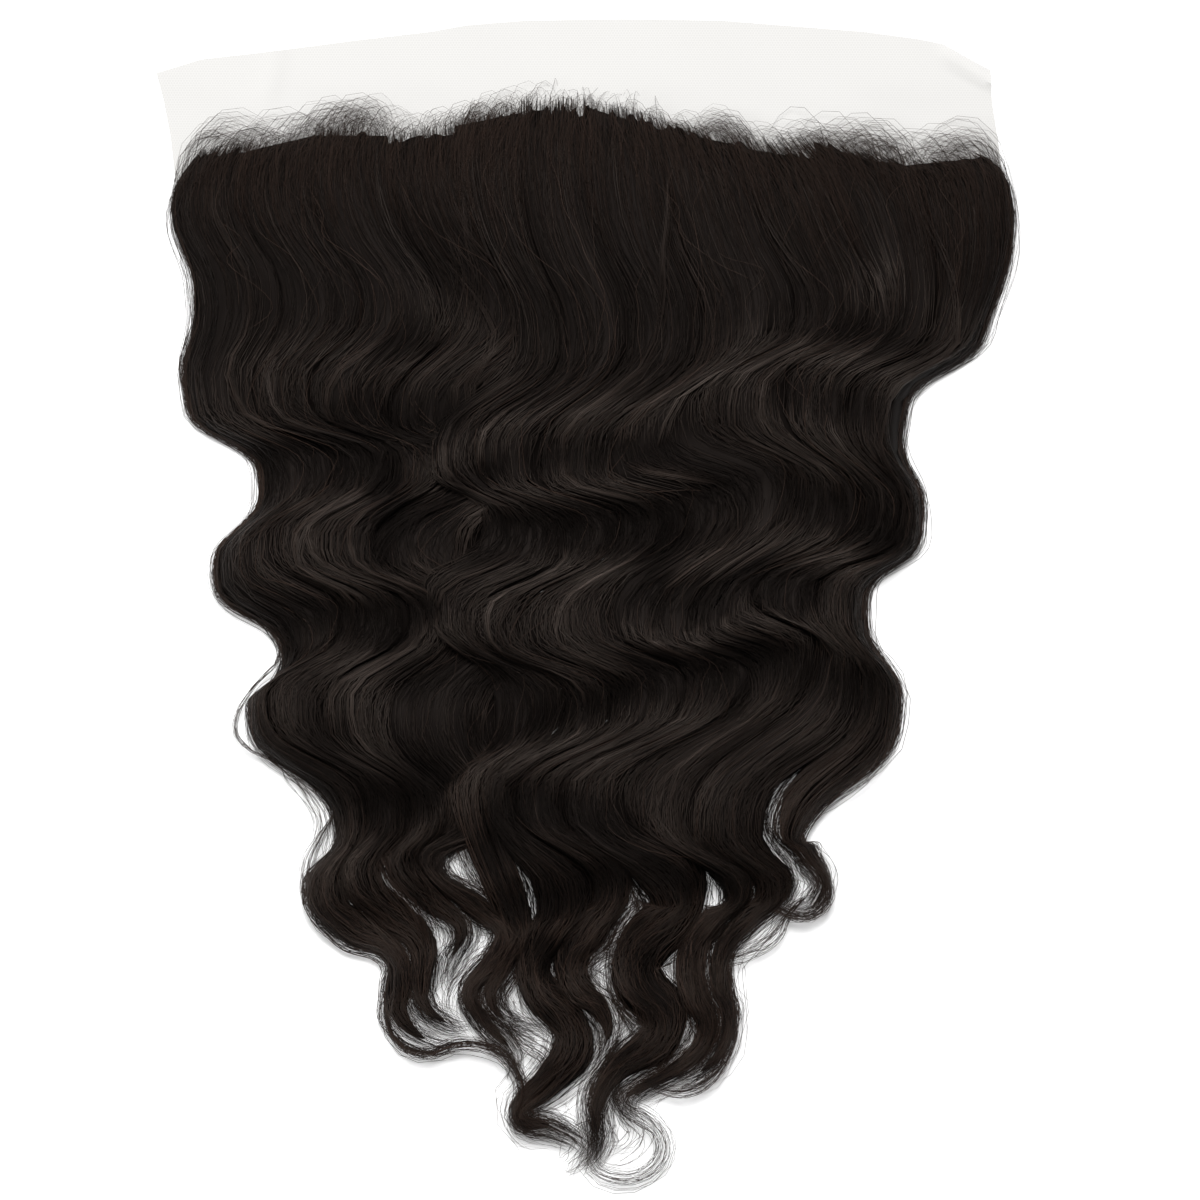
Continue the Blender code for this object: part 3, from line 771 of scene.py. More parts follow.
def root_hairs(lock_forms, settings, count):
    """Fine hairs that leave the lace along the hairline, arch away from the middle and join the locks."""
    rng = np.random.default_rng((settings.seed, 90))
    gathered = HairMesh()
    weights = np.array([np.linalg.norm(form.right[0] - form.left[0]) for form in lock_forms])
    chosen = rng.choice(len(lock_forms), count, p=weights / weights.sum())
    column = 1.0 / len(lock_forms)
    step = spaced(ROOT_POINTS) ** 1.3
    for number, form in enumerate(lock_forms):
        many = int((chosen == number).sum())
        share = rng.uniform(-0.03, 1.03, many)
        begin = hairline_start(form, share) - 0.1 + rng.gamma(2.2, 0.14, many)
        phase = begin[:, None] + step * rng.uniform(0.6, 1.3, (many, 1))
        share = share[:, None] + drift(rng, many, 3, step) * 0.04
        spots, _ = form.place(share, phase)
        across = spots[:, 0, 0]
        away = np.clip((across - PARTING_AT) / 45.0, -1.0, 1.0)
        far = ease_in((np.abs(across) - 50.0) / 90.0)
        tuft = np.sin(across / 9.0 + 0.6) * 0.2 + np.sin(across / 23.0) * 0.12
        size = np.clip(0.72 + tuft + rng.normal(0.0, 0.34, many), 0.05, 1.3)
        swing = 1.0 - ease_in(step / 0.5)
        spots[..., 0] -= (away * size * SWOOP * (0.75 + 0.45 * far))[:, None] * swing
        lean = rng.normal(0.0, LEAN, many) * (1.0 - 0.6 * np.abs(away))
        spots[..., 0] += lean[:, None] * (1.0 - step) ** 2
        arch = np.sin(pi * np.clip(step / ARCH_SHARE, 0.0, 1.0))
        tall = size * ARCH * (0.45 + 0.55 * np.abs(away)) * (1.0 + 0.3 * far)
        spots[..., 1] += tall[:, None] * arch
        spots[..., 0] += 0.6 * drift(rng, many, 6, step)
        rise = np.maximum(spots[..., 2] - LACE_TOP - 0.2, 0.3)
        lift = LACE_TOP * ease_in(step / 0.15) + rise * (0.02 + 0.98 * ease_in(step / 0.6)) + 1.6 * arch
        spots[..., 2] = np.maximum(lift, 0.6) - 1.8 * ease_in((step - 0.75) / 0.25)
        radii = settings.radius * rng.uniform(0.28, 0.56, (many, 1)) * (0.5 + 0.55 * ease_in(step / 0.35))
        tone = rng.uniform(0.15, 1.0, (many, 1))
        # Gloss with painted light: a painted highlight near the root, painted shade where the hair joins the
        # lock
        gloss = 0.1 + 0.4 * (1.0 - ease_in(step / 0.7))
        gathered.add_strands(spots, radii, tone, gloss, (number * column, (number + 1) * column))
    return gathered


def place_across(lock_forms, seats, phase):
    """Points on top of the hair, at seats that count the locks from the left."""
    spots = np.zeros((*phase.shape, 3))
    for number, form in enumerate(lock_forms):
        here = (seats >= number) & (seats < number + 1)
        spots[here] = form.place((seats - number)[here], phase[here])[0]
    return spots


def roving_locks(lock_forms, settings, bundles, strands):
    """Thin locks that lie over the others and wander across them on the way down."""
    rng = np.random.default_rng((settings.seed, 91))
    gathered = HairMesh()
    step = spaced(ROVING_POINTS)
    wave = np.sin(pi * step)
    full = ease_in(wave * 3.0)
    for bundle in range(bundles):
        begin = rng.uniform(0.6, 3.2)
        end = min(begin + rng.uniform(4.0, 6.0), LAST_FOLD)
        phase = begin + (end - begin) * step + np.zeros((strands, 1))
        seat = rng.uniform(0.5, len(lock_forms) - 0.5)
        path = seat + drift(rng, 1, 3, step) * 0.55
        half = rng.uniform(0.05, 0.13)
        own = rng.uniform(-1.0, 1.0, strands)[:, None]
        seats = path + own * half * (0.6 + 0.4 * wave) + drift(rng, strands, 9, step) * 0.03
        spots = place_across(lock_forms, np.clip(seats, 0.02, len(lock_forms) - 0.02), phase)
        spots[..., 2] += 0.9 * wave * (1.0 - own ** 2) - 1.2 * (1.0 - full)
        radii = settings.radius * rng.uniform(0.7, 1.05, (strands, 1)) * (0.35 + 0.65 * full)
        tone = 0.34 * rng.beta(1.6, 3.0, (strands, 1)) + 0.04 * drift(rng, strands, 7, step)
        # Gloss with painted light: a painted highlight on crests and relief ridges, painted shade in relief
        # hollows
        gloss = 0.25 * crest_share(phase) + 0.2 + 0.85 * relief(spots[..., :2])
        gloss = gloss + 0.1 * drift(rng, strands, 9, step)
        across = (bundle / bundles, (bundle + 1) / bundles)
        gathered.add_strands(spots, radii, np.clip(tone, 0, 1), np.clip(gloss, 0, 1), across)
    return gathered


def stray_hairs(lock_forms, settings, count):
    """Single hairs that lie across the waves."""
    rng = np.random.default_rng((settings.seed, 94))
    step = spaced(STRAY_POINTS)
    begin = rng.uniform(0.3, 6.0, (count, 1))
    phase = np.minimum(begin + rng.uniform(1.0, 2.5, (count, 1)) * step, LAST_FOLD)
    seats = rng.uniform(0.4, len(lock_forms) - 0.4, (count, 1)) + rng.normal(0.0, 0.45, (count, 1)) * step
    seats = seats + 0.25 * drift(rng, count, 4, step)
    spots = place_across(lock_forms, np.clip(seats, 0.02, len(lock_forms) - 0.02), phase)
    spots[..., 1] += 2.0 * drift(rng, count, 4, step)
    spots[..., 2] += 1.6 * np.sin(pi * step) - 0.9
    radii = settings.radius * rng.uniform(0.35, 0.6, (count, 1))
    tone = rng.uniform(0.5, 1.0, (count, 1))
    gathered = HairMesh()
    # 0.55 sets their gloss and a painted highlight of middling strength
    gathered.add_strands(spots, radii, tone, 0.55, (0.0, 1.0))
    return gathered


def add_bundle(gathered, settings, number, wisp):
    """One loose bundle along its line, opening out from its root and thinning to its tip."""
    rng = np.random.default_rng((settings.seed, 92, number))
    step = spaced(WISP_POINTS)
    count = wisp.strands
    line = smooth_line(wisp.line)
    last = len(wisp.line) - 1
    begin = rng.uniform(0.0, 0.1, (count, 1)) * last
    end = last - np.minimum(np.abs(rng.normal(0.0, 0.12, (count, 1))), 0.4) * last
    phase = begin + (end - begin) * step
    spots = along_line(line, phase)
    ahead = along_line(line, np.minimum(phase + 0.05, last)) - along_line(line, np.maximum(phase - 0.05, 0))
    ahead /= np.maximum(np.linalg.norm(ahead, axis=-1, keepdims=True), 1e-9)
    side = np.stack([-ahead[..., 1], ahead[..., 0]], -1)
    own = np.clip(rng.normal(0.0, 0.5, (count, 1)), -1.1, 1.1)
    open_out = 0.3 + 0.7 * ease_in(step / 0.3)
    reach = own * (0.75 + 0.35 * np.sin(pi * step)) + 0.3 * drift(rng, count, 4, step)
    spots = spots + side * (wisp.spread * reach * open_out)[..., None]
    spots = spots + 0.35 * np.stack([drift(rng, count, 12, step) for _ in (0, 1)], -1)
    rise = wisp.height * (0.3 + 0.7 * np.sin(pi * (0.08 + 0.84 * step)))
    rise = rise + rng.normal(0.0, 0.8, (count, 1)) + 0.8 * drift(rng, count, 4, step)
    spots = np.concatenate([spots, np.maximum(rise, 0.5)[..., None]], -1)
    thinning = 1.0 - 0.6 * ease_in((step - 0.7) / 0.3)
    radii = settings.radius * rng.uniform(0.4, 0.75, (count, 1)) * thinning
    tone = rng.uniform(0.1, 0.8, (count, 1))
    # Their gloss and painted light: a faint painted highlight and some painted shade
    gloss = 0.35 + 0.3 * drift(rng, count, 5, step)
    across = (0.8 * number / len(WISPS), 0.8 * (number + 1) / len(WISPS))
    gathered.add_strands(spots, radii, tone, gloss, across)


def add_side_strands(gathered, settings, side, form, count):
    """Fine strands that leave the left side (0) or the right side (1) of the hair and join it again."""
    rng = np.random.default_rng((settings.seed, 93, side))
    step = spaced(WISP_POINTS)
    begin = rng.uniform(0.15, form.tail_from - 2.0, (count, 1))
    end = np.minimum(begin + rng.uniform(1.5, 3.5, (count, 1)), form.tail_from + 0.5)
    phase = begin + (end - begin) * step
    out = np.minimum(rng.exponential(1.5, (count, 1)), SIDE_REACH)
    out = out * (1.0 + 0.4 * drift(rng, count, 4, step))
    out = out * np.sin(pi * step) ** 0.7 - 1.5 * (1.0 - np.sin(pi * step))
    spots, floor = form.place(side + (2 * side - 1) * out / form.wide(phase), phase)
    height = (spots[..., 2] - floor) * rng.uniform(0.3, 1.0, (count, 1))
    spots[..., 2] = floor + np.maximum(height, 0.4)
    radii = settings.radius * rng.uniform(0.45, 0.75, (count, 1))
    tone = rng.uniform(0.2, 1.0, (count, 1))
    # 0.3 sets their gloss, a faint painted highlight and some painted shade
    gathered.add_strands(spots, radii, tone, 0.3, (0.8 + 0.1 * side, 0.9 + 0.1 * side))


def wisp_strands(lock_forms, settings, side_strands):
    """Loose bundles at the edges and in the gaps between the tails, and fine strands along the sides."""
    gathered = HairMesh()
    for number, wisp in enumerate(WISPS):
        add_bundle(gathered, settings, number, wisp)
    add_side_strands(gathered, settings, 0, lock_forms[0], side_strands)
    add_side_strands(gathered, settings, 1, lock_forms[-1], side_strands)
    return gathered


def feed(node, inputs):
    """Sets inputs of a node, each to a value or to a link from another node's output."""
    for key, value in inputs.items():
        if isinstance(value, bpy.types.NodeSocket):
            node.id_data.links.new(value, node.inputs[key])
        else:
            node.inputs[key].default_value = value


def make_node(tree, kind, place, inputs=None, **values):
    """A new node at a place in the tree, with its own settings first and then its inputs."""
    node = tree.nodes.new(kind)
    node.location = place
    for key, value in values.items():
        setattr(node, key, value)
    feed(node, inputs or {})
    return node


def new_group(name, inputs, outputs):
    """A shader node group, the node that gives its inputs and the node that takes its outputs."""
    group = bpy.data.node_groups.new(name, "ShaderNodeTree")
    for sockets, way in ((inputs, "INPUT"), (outputs, "OUTPUT")):
        for label, kind in sockets:
            group.interface.new_socket(label, in_out=way, socket_type="NodeSocket" + kind)
    given = make_node(group, "NodeGroupInput", (-1300, 0))
    return group, given, make_node(group, "NodeGroupOutput", (700, 0))


def new_material(name, inputs):
    """A material, its node tree and its Principled BSDF, with values for that shader's inputs."""
    material = bpy.data.materials.new(name)
    material.use_nodes = True
    shader = material.node_tree.nodes["Principled BSDF"]
    feed(shader, inputs)
    return material, material.node_tree, shader


def streaks(tree, place, vector, scale):
    """Noise drawn out along the strands."""
    stretch = make_node(tree, "ShaderNodeMapping", place, {"Vector": vector, "Scale": scale})
    noise = make_node(tree, "ShaderNodeTexNoise", (place[0] + 200, place[1]), {
        "Vector": stretch.outputs["Vector"], "Scale": 1.0, "Detail": 2.0})
    return noise.outputs["Fac"]


def strand_shade_group():
    """Colour and roughness of combed hair, from a strand's tone, its place on the wave and its UV map. The
    colour carries a painted highlight on the crests and painted shade where the gloss is low.
    """
    colours = [(label, "Color") for label in ("Deep colour", "Brown colour", "Painted highlight colour")]
    group, given, kept = new_group(
        "Strand shade", [("Vector", "Vector"), ("Tone", "Float"), ("Crest", "Float")] + colours,
        [("Colour", "Color"), ("Roughness", "Float")])
    crest = given.outputs["Crest"]
    streak = streaks(group, (-700, -200), given.outputs["Vector"], (60.0, 26.0, 1.0))
    browned = make_node(group, "ShaderNodeMix", (-200, 100), {
        "Factor": given.outputs["Tone"], "A": given.outputs["Deep colour"],
        "B": given.outputs["Brown colour"]}, data_type="RGBA")
    # Painted highlight: strands are mixed towards the light crest colour where the gloss is high
    lit = make_node(group, "ShaderNodeMath", (-200, -150), {0: crest, 1: streak}, operation="MULTIPLY")
    shone = make_node(group, "ShaderNodeMix", (100, 100), {
        "Factor": lit.outputs["Value"], "A": browned.outputs["Result"],
        "B": given.outputs["Painted highlight colour"]}, data_type="RGBA")
    # Painted shade: the colour darkens to a tenth where the gloss is 0, as in the hollows and under other
    # strands
    depth = make_node(group, "ShaderNodeMapRange", (100, 300), {
        "Value": crest, "From Max": 0.5, "To Min": 0.1, "To Max": 1.0})
    painted_light_colour = make_node(group, "ShaderNodeVectorMath", (400, 200), {
        "Vector": shone.outputs["Result"], "Scale": depth.outputs["Result"]}, operation="SCALE")
    rough = make_node(group, "ShaderNodeMapRange", (100, -150), {
        "Value": crest, "To Min": 0.6, "To Max": 0.34})
    feed(kept, {"Colour": painted_light_colour.outputs["Vector"], "Roughness": rough.outputs["Result"]})
    return group


def hair_material(kept):
    """Near-black hair, glossier on the crests of its waves, with a painted highlight there and painted shade
    in its hollows.
    """
    material, tree, shader = new_material("combed_hair", {
        "Specular IOR Level": 0.18, "Specular Tint": HAIR_TINT})
    spread = make_node(tree, "ShaderNodeUVMap", (-600, 350), uv_map=UV_NAME)
    tone = make_node(tree, "ShaderNodeAttribute", (-600, 200), attribute_name="tone")
    crest = make_node(tree, "ShaderNodeAttribute", (-600, 0), attribute_name="gloss")
    shade = make_node(tree, "ShaderNodeGroup", (-300, 200), {
        "Vector": spread.outputs["UV"], "Tone": tone.outputs["Fac"], "Crest": crest.outputs["Fac"],
        "Deep colour": (*kept.deep_colour, 1.0), "Brown colour": (*kept.brown_colour, 1.0),
        "Painted highlight colour": (*kept.painted_highlight_colour, 1.0)}, node_tree=strand_shade_group())
    feed(shader, {"Base Color": shade.outputs["Colour"], "Roughness": shade.outputs["Roughness"]})
    return material


def inner_material(kept):
    """Near-black of the hair inside a lock, with fine streaks along it, darker than the strands: painted
    shade inside the lock.
    """
    material, tree, shader = new_material("inner_hair", {
        "Roughness": 0.6, "Specular IOR Level": 0.1, "Specular Tint": HAIR_TINT})
    spread = make_node(tree, "ShaderNodeUVMap", (-1100, 0), uv_map=UV_NAME)
    streak = streaks(tree, (-900, 0), spread.outputs["UV"], (900.0, 36.0, 1.0))
    # Streaks from 0.4 to 1 times the deep colour: painted shade, darker than any strand
    tint = make_node(tree, "ShaderNodeMix", (-400, 150), {
        "Factor": streak, "A": (*(0.4 * value for value in kept.deep_colour), 1.0),
        "B": (*kept.deep_colour, 1.0)}, data_type="RGBA")
    rise = make_node(tree, "ShaderNodeBump", (-400, -200), {
        "Height": streak, "Strength": 0.5, "Distance": 0.0002})
    feed(shader, {"Base Color": tint.outputs["Result"], "Normal": rise.outputs["Normal"]})
    return material


def shared_hair_material(kept):
    return bpy.data.materials.get("combed_hair") or hair_material(kept)


def add_hair(gathered, name, kept):
    """Makes a piece that lies on the locks and stands for no solid."""
    piece = gathered.make(name, shared_hair_material(kept))
    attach(piece, "root")


class HairLook(bpy.types.PropertyGroup):
    seed: IntProperty(name="Seed", description="Start of the random spread of the strands", default=11)
    tail_strands: IntProperty(
        name="Tail strands", description="Strands in each lock that end at its tip", default=134, min=10)
    body_strands: IntProperty(
        name="Body strands", description="Strands in each lock that end before its tail", default=130, min=10)
    root_hairs: IntProperty(
        name="Root hairs", description="Fine hairs along the hairline", default=2450, min=10)
    roving_locks: IntProperty(
        name="Roving locks", description="Thin locks that wander over the others", default=20, min=1)
    roving_strands: IntProperty(
        name="Roving strands", description="Strands in each roving lock", default=14, min=3)
    side_strands: IntProperty(
        name="Side strands", description="Fine strands along each side of the hair", default=120, min=1)
    stray_hairs: IntProperty(
        name="Stray hairs", description="Single hairs that lie across the waves", default=110, min=1)
    clumps: IntProperty(name="Clumps", description="Clumps side by side in a lock", default=5, min=1)
    strand_width: FloatProperty(
        name="Strand width", description="Width of one strand seen from above",
        default=0.00025, unit="LENGTH", precision=5)
    clump_lift: FloatProperty(
        name="Clump lift", description="How far clumps rise and sink past each other",
        default=0.0012, unit="LENGTH", precision=4)
    clump_round: FloatProperty(
        name="Clump roundness", description="How much lower a clump's edges are than its middle",
        default=0.0014, unit="LENGTH", precision=4)
    stray: FloatProperty(
        name="Stray", description="How far a strand wanders to the side",
        default=0.0011, unit="LENGTH", precision=4)
    deep_colour: FloatVectorProperty(
        name="Deep colour", description="Darkest colour of the hair", subtype="COLOR",
        default=(0.0034, 0.0025, 0.0022), min=0.0, max=1.0)
    brown_colour: FloatVectorProperty(
        name="Brown colour", description="Colour of the lightest strands", subtype="COLOR",
        default=(0.066, 0.036, 0.025), min=0.0, max=1.0)
    # The crest strands' lighter colour is a painted highlight
    painted_highlight_colour: FloatVectorProperty(
        name="Painted highlight colour", description="Colour of the strands on the crests", subtype="COLOR",
        default=(0.060, 0.049, 0.042), min=0.0, max=1.0)


class HAIR_OT_locks(bpy.types.Operator):
    """Combs strands over each lock of the plain model"""

    bl_idname = "hair.locks"
    bl_label = "Comb the locks"

    def execute(self, context):
        kept = context.scene.hair_look
        settings = HairSettings(kept)
        material = shared_hair_material(kept)
        inner = inner_material(kept)
        for form in forms():
            body = form.width[: form.tail_from * STATIONS].mean()
            scale = np.clip(body / COMMON_WIDTH, FEWEST, MOST)
            tail_strands, body_strands = int(kept.tail_strands * scale), int(kept.body_strands * scale)
            gathered = lock_body(form, settings, tail_strands, body_strands)
            piece = gathered.make("hair_" + form.name, material, inner)
            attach(piece, "root")
            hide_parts(form.name)
        return {"FINISHED"}


class HAIR_OT_hairline(bpy.types.Operator):
    """Adds the fine hairs along the hairline"""

    bl_idname = "hair.hairline"
    bl_label = "Add the hairline"

    def execute(self, context):
        kept = context.scene.hair_look
        add_hair(root_hairs(forms(), HairSettings(kept), kept.root_hairs), "hairline_hairs", kept)
        return {"FINISHED"}


class HAIR_OT_roving(bpy.types.Operator):
    """Lays thin wandering locks over the combed ones"""

    bl_idname = "hair.roving"
    bl_label = "Lay the roving locks"

    def execute(self, context):
        kept = context.scene.hair_look
        gathered = roving_locks(forms(), HairSettings(kept), kept.roving_locks, kept.roving_strands)
        add_hair(gathered, "roving_locks", kept)
        return {"FINISHED"}


class HAIR_OT_wisps(bpy.types.Operator):
    """Adds loose bundles at the edges and between the tails"""

    bl_idname = "hair.wisps"
    bl_label = "Add the wisps"

    def execute(self, context):
        kept = context.scene.hair_look
        add_hair(wisp_strands(forms(), HairSettings(kept), kept.side_strands), "loose_wisps", kept)
        add_hair(stray_hairs(forms(), HairSettings(kept), kept.stray_hairs), "stray_hairs", kept)
        return {"FINISHED"}


class StudioLook(bpy.types.PropertyGroup):
    floor_colour: FloatVectorProperty(
        name="Floor colour", description="Colour of the plain floor", subtype="COLOR",
        default=(0.90, 0.90, 0.90), min=0.0, max=1.0)
    floor_glow: FloatProperty(
        name="Floor glow", description="Light given off by the floor, as a light table does", default=0.2,
        min=0.0)
    sky: FloatProperty(name="Sky", description="Strength of the even light all round", default=0.16, min=0.0)
    key: FloatProperty(name="Key", description="Power of the soft light above", default=155.0, min=0.0)
    seen: FloatProperty(
        name="Seen width", description="Width of the floor that the camera sees", default=0.48,
        unit="LENGTH")


class HAIR_OT_studio(bpy.types.Operator):
    """Sets a pale floor, soft lights and a camera straight above"""

    bl_idname = "hair.studio"
    bl_label = "Set the studio"

    def execute(self, context):
        kept = context.scene.studio_look
        bpy.ops.object.select_all(action="DESELECT")
        bpy.ops.mesh.primitive_plane_add(size=16.0, location=(0.0, 0.0, 0.0))
        floor = context.active_object
        floor.name = "floor"
        paint, _, _ = new_material("pale_floor", {
            "Base Color": (*kept.floor_colour, 1.0), "Roughness": 0.9, "Specular IOR Level": 0.1,
            "Emission Color": (1.0, 1.0, 1.0, 1.0), "Emission Strength": kept.floor_glow})
        floor.data.materials.append(paint)
        world = bpy.data.worlds.new("even_light")
        world.use_nodes = True
        tree = world.node_tree
        ray = make_node(tree, "ShaderNodeLightPath", (-500, 0))
        strength = make_node(tree, "ShaderNodeMapRange", (-250, 0), {
            "Value": ray.outputs["Is Camera Ray"], "To Min": kept.sky, "To Max": 1.0})
        feed(tree.nodes["Background"], {
            "Color": (1.0, 1.0, 1.0, 1.0), "Strength": strength.outputs["Result"]})
        context.scene.world = world
        for name, place, turn, size, share in (
            ("key_light", (0.0, 1.65, 3.1), (-28.0, 0.0, 0.0), 1.4, 1.0),
            ("side_light", (-2.4, -0.4, 1.9), (-9.0, -51.0, 0.0), 1.2, 0.2),
        ):
            bpy.ops.object.light_add(
                type="AREA", location=place, rotation=tuple(radians(angle) for angle in turn))
            light = context.active_object
            light.name = name
            light.data.shape = "SQUARE"
            light.data.size = size
            light.data.energy = kept.key * share
        bpy.ops.object.camera_add(location=(0.0058, -0.0018, CAMERA_HEIGHT), rotation=(0.0, 0.0, 0.0))
        camera = context.active_object
        camera.data.lens = camera.data.sensor_width * CAMERA_HEIGHT / kept.seen
        context.scene.camera = camera
        context.scene.view_settings.view_transform = "Standard"
        return {"FINISHED"}


class LaceLook(bpy.types.PropertyGroup):
    thickness: FloatProperty(
        name="Thickness", description="Thickness of the lace", default=0.0004, unit="LENGTH", precision=4)
    cell: FloatProperty(
        name="Cell", description="Width of one cell of the net", default=0.0011, unit="LENGTH", precision=4)
    colour: FloatVectorProperty(
        name="Colour", description="Colour of the lace thread", subtype="COLOR",
        default=(0.665, 0.657, 0.642), min=0.0, max=1.0)


def evenly(points, shares):
    """Points of a chain of straight lines at shares of its length."""
    points = np.asarray(points, float)
    length = np.concatenate([[0], np.cumsum(np.linalg.norm(np.diff(points, axis=0), axis=1))])
    at = np.asarray(shares) * length[-1]
    return np.stack([np.interp(at, length, points[:, axis]) for axis in (0, 1)], -1)


def lace_height(across, along):
    """Middle height of the lace: nearly flat, with a faint fold on the left and a lifted right corner."""
    bare = ease_in((along - 192.0) / 14.0)
    ripple = 0.22 * np.sin(across / 17.0) + 0.16 * np.sin(across / 7.3 + along / 9.0)
    fold = 0.9 * np.exp(-(((across + 125.0) - (along - 208.0) * 0.15) / 3.2) ** 2)
    reach = (across - 143.0) * 0.52 + (along - 220.0) * 0.86
    corner = 1.5 * np.exp(-((reach + 3.0) / 1.8) ** 2) * ease_in((across - 140.0) / 6.0)
    return 0.45 + bare * (0.3 + ripple + fold + corner)


class HAIR_OT_lace(bpy.types.Operator):
    """Lays the fine lace sheet under the hair"""

    bl_idname = "hair.lace"
    bl_label = "Lay the lace"

    def execute(self, context):
        kept = context.scene.lace_look
        across, along = 110, 32
        bpy.ops.object.select_all(action="DESELECT")
        bpy.ops.mesh.primitive_grid_add(x_subdivisions=across, y_subdivisions=along, size=2.0)
        lace = context.active_object
        lace.name = "lace_sheet"
        flat = np.zeros(len(lace.data.vertices) * 3, np.float32)
        lace.data.vertices.foreach_get("co", flat)
        share = (flat.reshape(-1, 3)[:, :2] + 1.0) / 2.0
        a, b = share[:, :1], share[:, 1:]
        front = evenly(LACE_FRONT, a[:, 0])
        left, right = evenly(LACE_LEFT, b[:, 0]), evenly(LACE_RIGHT, b[:, 0])
        back = evenly((LACE_LEFT[0], LACE_RIGHT[0]), a[:, 0])
        corners = [np.array(point) for point in (LACE_LEFT[0], LACE_RIGHT[0], LACE_LEFT[-1], LACE_RIGHT[-1])]
        spot = back * (1 - b) + front * b + left * (1 - a) + right * a
        spot -= corners[0] * (1 - a) * (1 - b) + corners[1] * a * (1 - b)
        spot -= corners[2] * (1 - a) * b + corners[3] * a * b
        height = lace_height(spot[:, 0], spot[:, 1])
        placed = np.concatenate([spot, height[:, None]], 1) * MM
        lace.data.vertices.foreach_set("co", placed.astype(np.float32).ravel())
        lace.data.update()
        wall = lace.modifiers.new("thickness", "SOLIDIFY")
        wall.thickness = kept.thickness
        wall.offset = 0.0
        bpy.ops.object.modifier_apply(modifier=wall.name)
        bpy.ops.object.shade_smooth_by_angle(angle=radians(50.0))
        lace.data.materials.clear()
        lace.data.materials.append(lace_material(kept))
        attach(lace, "root")
        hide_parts("lace_base")
        return {"FINISHED"}


def net_group():
    """Mask of a net with six-sided cells: 1 on a thread and 0 in a hole."""
    group, given, kept = new_group(
        "Net threads", [("Vector", "Vector"), ("Cell", "Float"), ("Thread", "Float")], [("Mask", "Float")])

    def vector(kind, place, *values):
        node = make_node(group, "ShaderNodeVectorMath", place, dict(enumerate(values)), operation=kind)
        return node.outputs["Value" if kind == "DOT_PRODUCT" else "Vector"]

    cell = given.outputs["Cell"]
    spread = make_node(group, "ShaderNodeCombineXYZ", (-1250, -200), {"X": cell, "Y": cell, "Z": cell})
    scaled = vector("DIVIDE", (-1100, 0), given.outputs["Vector"], spread.outputs["Vector"])
    flat = vector("MULTIPLY", (-950, 0), scaled, (1.0, 1.0, 0.0))
    moved = vector("ADD", (-950, 200), flat, (1000.0, 1732.0508, 0.0))
    pitch, half = (1.0, 1.7320508, 1.0), (0.5, 0.8660254, 0.0)
    near = vector("SUBTRACT", (-650, 200), vector("MODULO", (-800, 200), moved, pitch), half)
    other = vector("SUBTRACT", (-800, -200), moved, half)
    far = vector("SUBTRACT", (-500, -200), vector("MODULO", (-650, -200), other, pitch), half)
    near_size = vector("DOT_PRODUCT", (-350, 300), near, near)
    far_size = vector("DOT_PRODUCT", (-350, -300), far, far)
    nearer = make_node(
        group, "ShaderNodeMath", (-200, 100), {0: near_size, 1: far_size}, operation="LESS_THAN")
    chosen = make_node(group, "ShaderNodeMix", (-50, 0), {
        "Factor": nearer.outputs["Value"], 4: far, 5: near}, data_type="VECTOR")
    folded = vector("ABSOLUTE", (100, 0), chosen.outputs[1])
    slant = vector("DOT_PRODUCT", (250, 100), folded, (0.5, 0.8660254, 0.0))
    split = make_node(group, "ShaderNodeSeparateXYZ", (250, -100), {"Vector": folded})
    edge = make_node(
        group, "ShaderNodeMath", (400, 0), {0: slant, 1: split.outputs["X"]}, operation="MAXIMUM")
    start = make_node(
        group, "ShaderNodeMath", (400, -200), {0: 0.5, 1: given.outputs["Thread"]}, operation="SUBTRACT")
    soft = make_node(group, "ShaderNodeMapRange", (550, 0), {
        "Value": edge.outputs["Value"], "From Min": start.outputs["Value"], "From Max": 0.5})
    feed(kept, {"Mask": soft.outputs["Result"]})
    return group


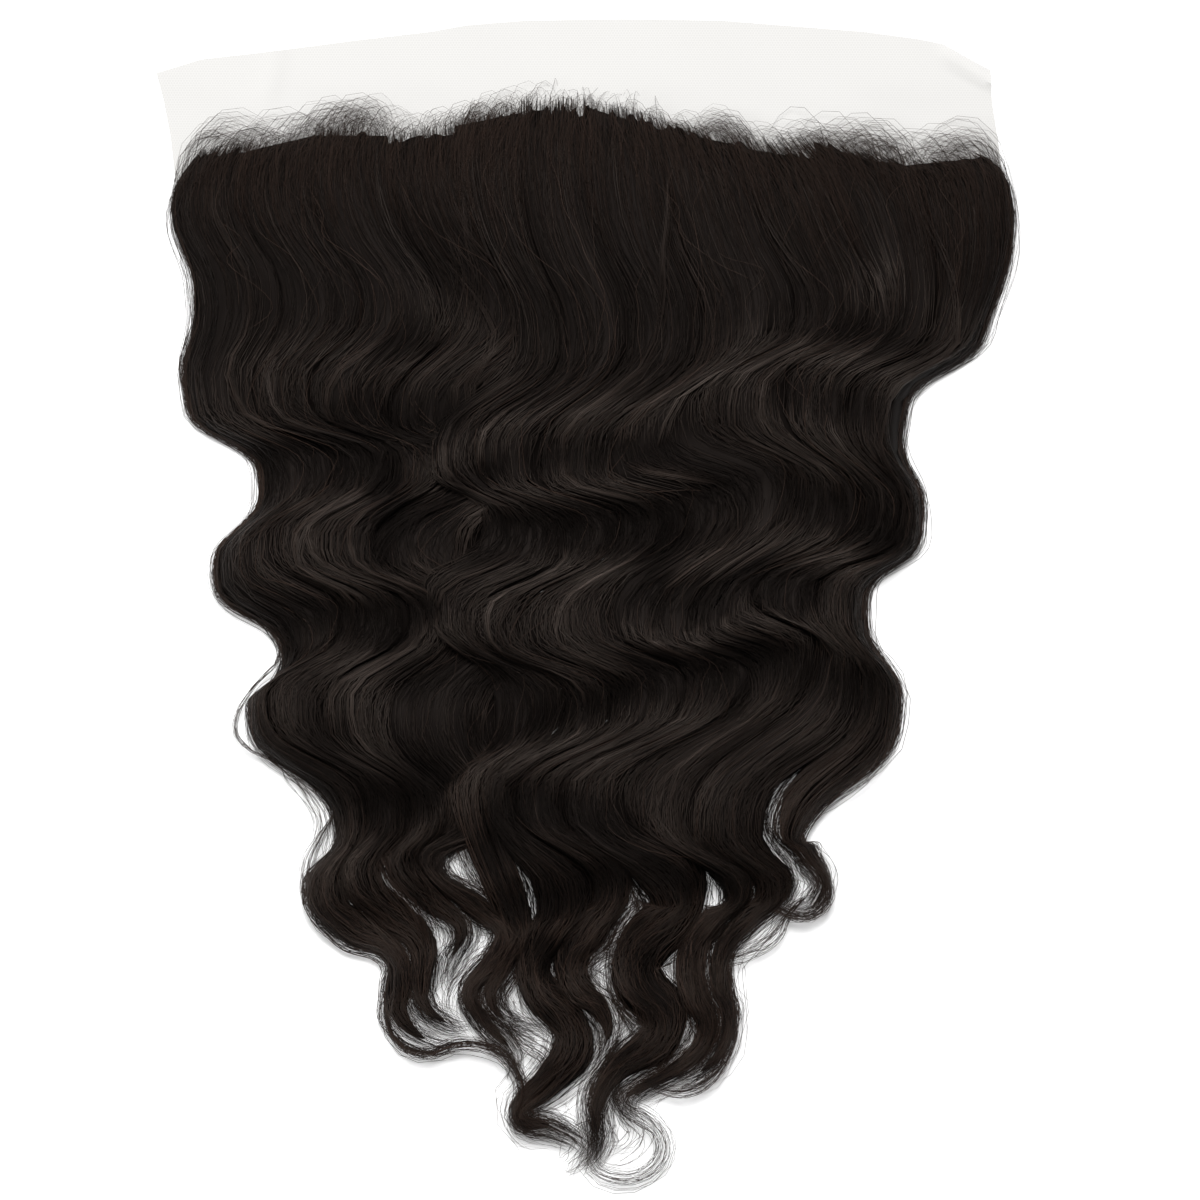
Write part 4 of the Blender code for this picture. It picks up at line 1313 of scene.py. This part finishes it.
def lace_material(kept):
    """Fine off-white net, thin enough to let the floor show through."""
    material, tree, shader = new_material("fine_lace", {"Roughness": 0.8, "Specular IOR Level": 0.2})
    spot = make_node(tree, "ShaderNodeTexCoord", (-900, 0))
    net = make_node(tree, "ShaderNodeGroup", (-700, 0), {
        "Vector": spot.outputs["Object"], "Cell": kept.cell, "Thread": 0.17}, node_tree=net_group())
    mask = net.outputs["Mask"]
    tint = make_node(tree, "ShaderNodeMix", (-400, 200), {
        "Factor": mask, "A": (*(0.985 * value for value in kept.colour), 1.0),
        "B": (*kept.colour, 1.0)}, data_type="RGBA")
    cover = make_node(tree, "ShaderNodeMapRange", (-400, -50), {"Value": mask, "To Min": 0.9, "To Max": 1.0})
    rise = make_node(tree, "ShaderNodeBump", (-400, -300), {
        "Height": mask, "Strength": 0.2, "Distance": 0.0001})
    feed(shader, {
        "Base Color": tint.outputs["Result"], "Alpha": cover.outputs["Result"],
        "Normal": rise.outputs["Normal"]})
    return material


class HAIR_PT_panel(bpy.types.Panel):
    bl_label = "Lace frontal"
    bl_space_type = "VIEW_3D"
    bl_region_type = "UI"
    bl_category = "Hair"

    def draw(self, context):
        layout = self.layout
        for step in STEPS:
            layout.operator("hair." + step)


CLASSES = (
    HairLook, StudioLook, LaceLook, HAIR_OT_lace, HAIR_OT_locks, HAIR_OT_hairline, HAIR_OT_roving,
    HAIR_OT_wisps, HAIR_OT_studio, HAIR_PT_panel,
)
STEPS = ("lace", "locks", "hairline", "roving", "wisps", "studio")


def register():
    for kind in CLASSES:
        bpy.utils.register_class(kind)
    bpy.types.Scene.hair_look = PointerProperty(type=HairLook)
    bpy.types.Scene.studio_look = PointerProperty(type=StudioLook)
    bpy.types.Scene.lace_look = PointerProperty(type=LaceLook)


def unregister():
    del bpy.types.Scene.lace_look
    del bpy.types.Scene.studio_look
    del bpy.types.Scene.hair_look
    for kind in reversed(CLASSES):
        bpy.utils.unregister_class(kind)


def main():
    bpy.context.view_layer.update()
    register()
    for step in STEPS:
        getattr(bpy.ops.hair, step)()


if __name__ == "__main__":
    main()
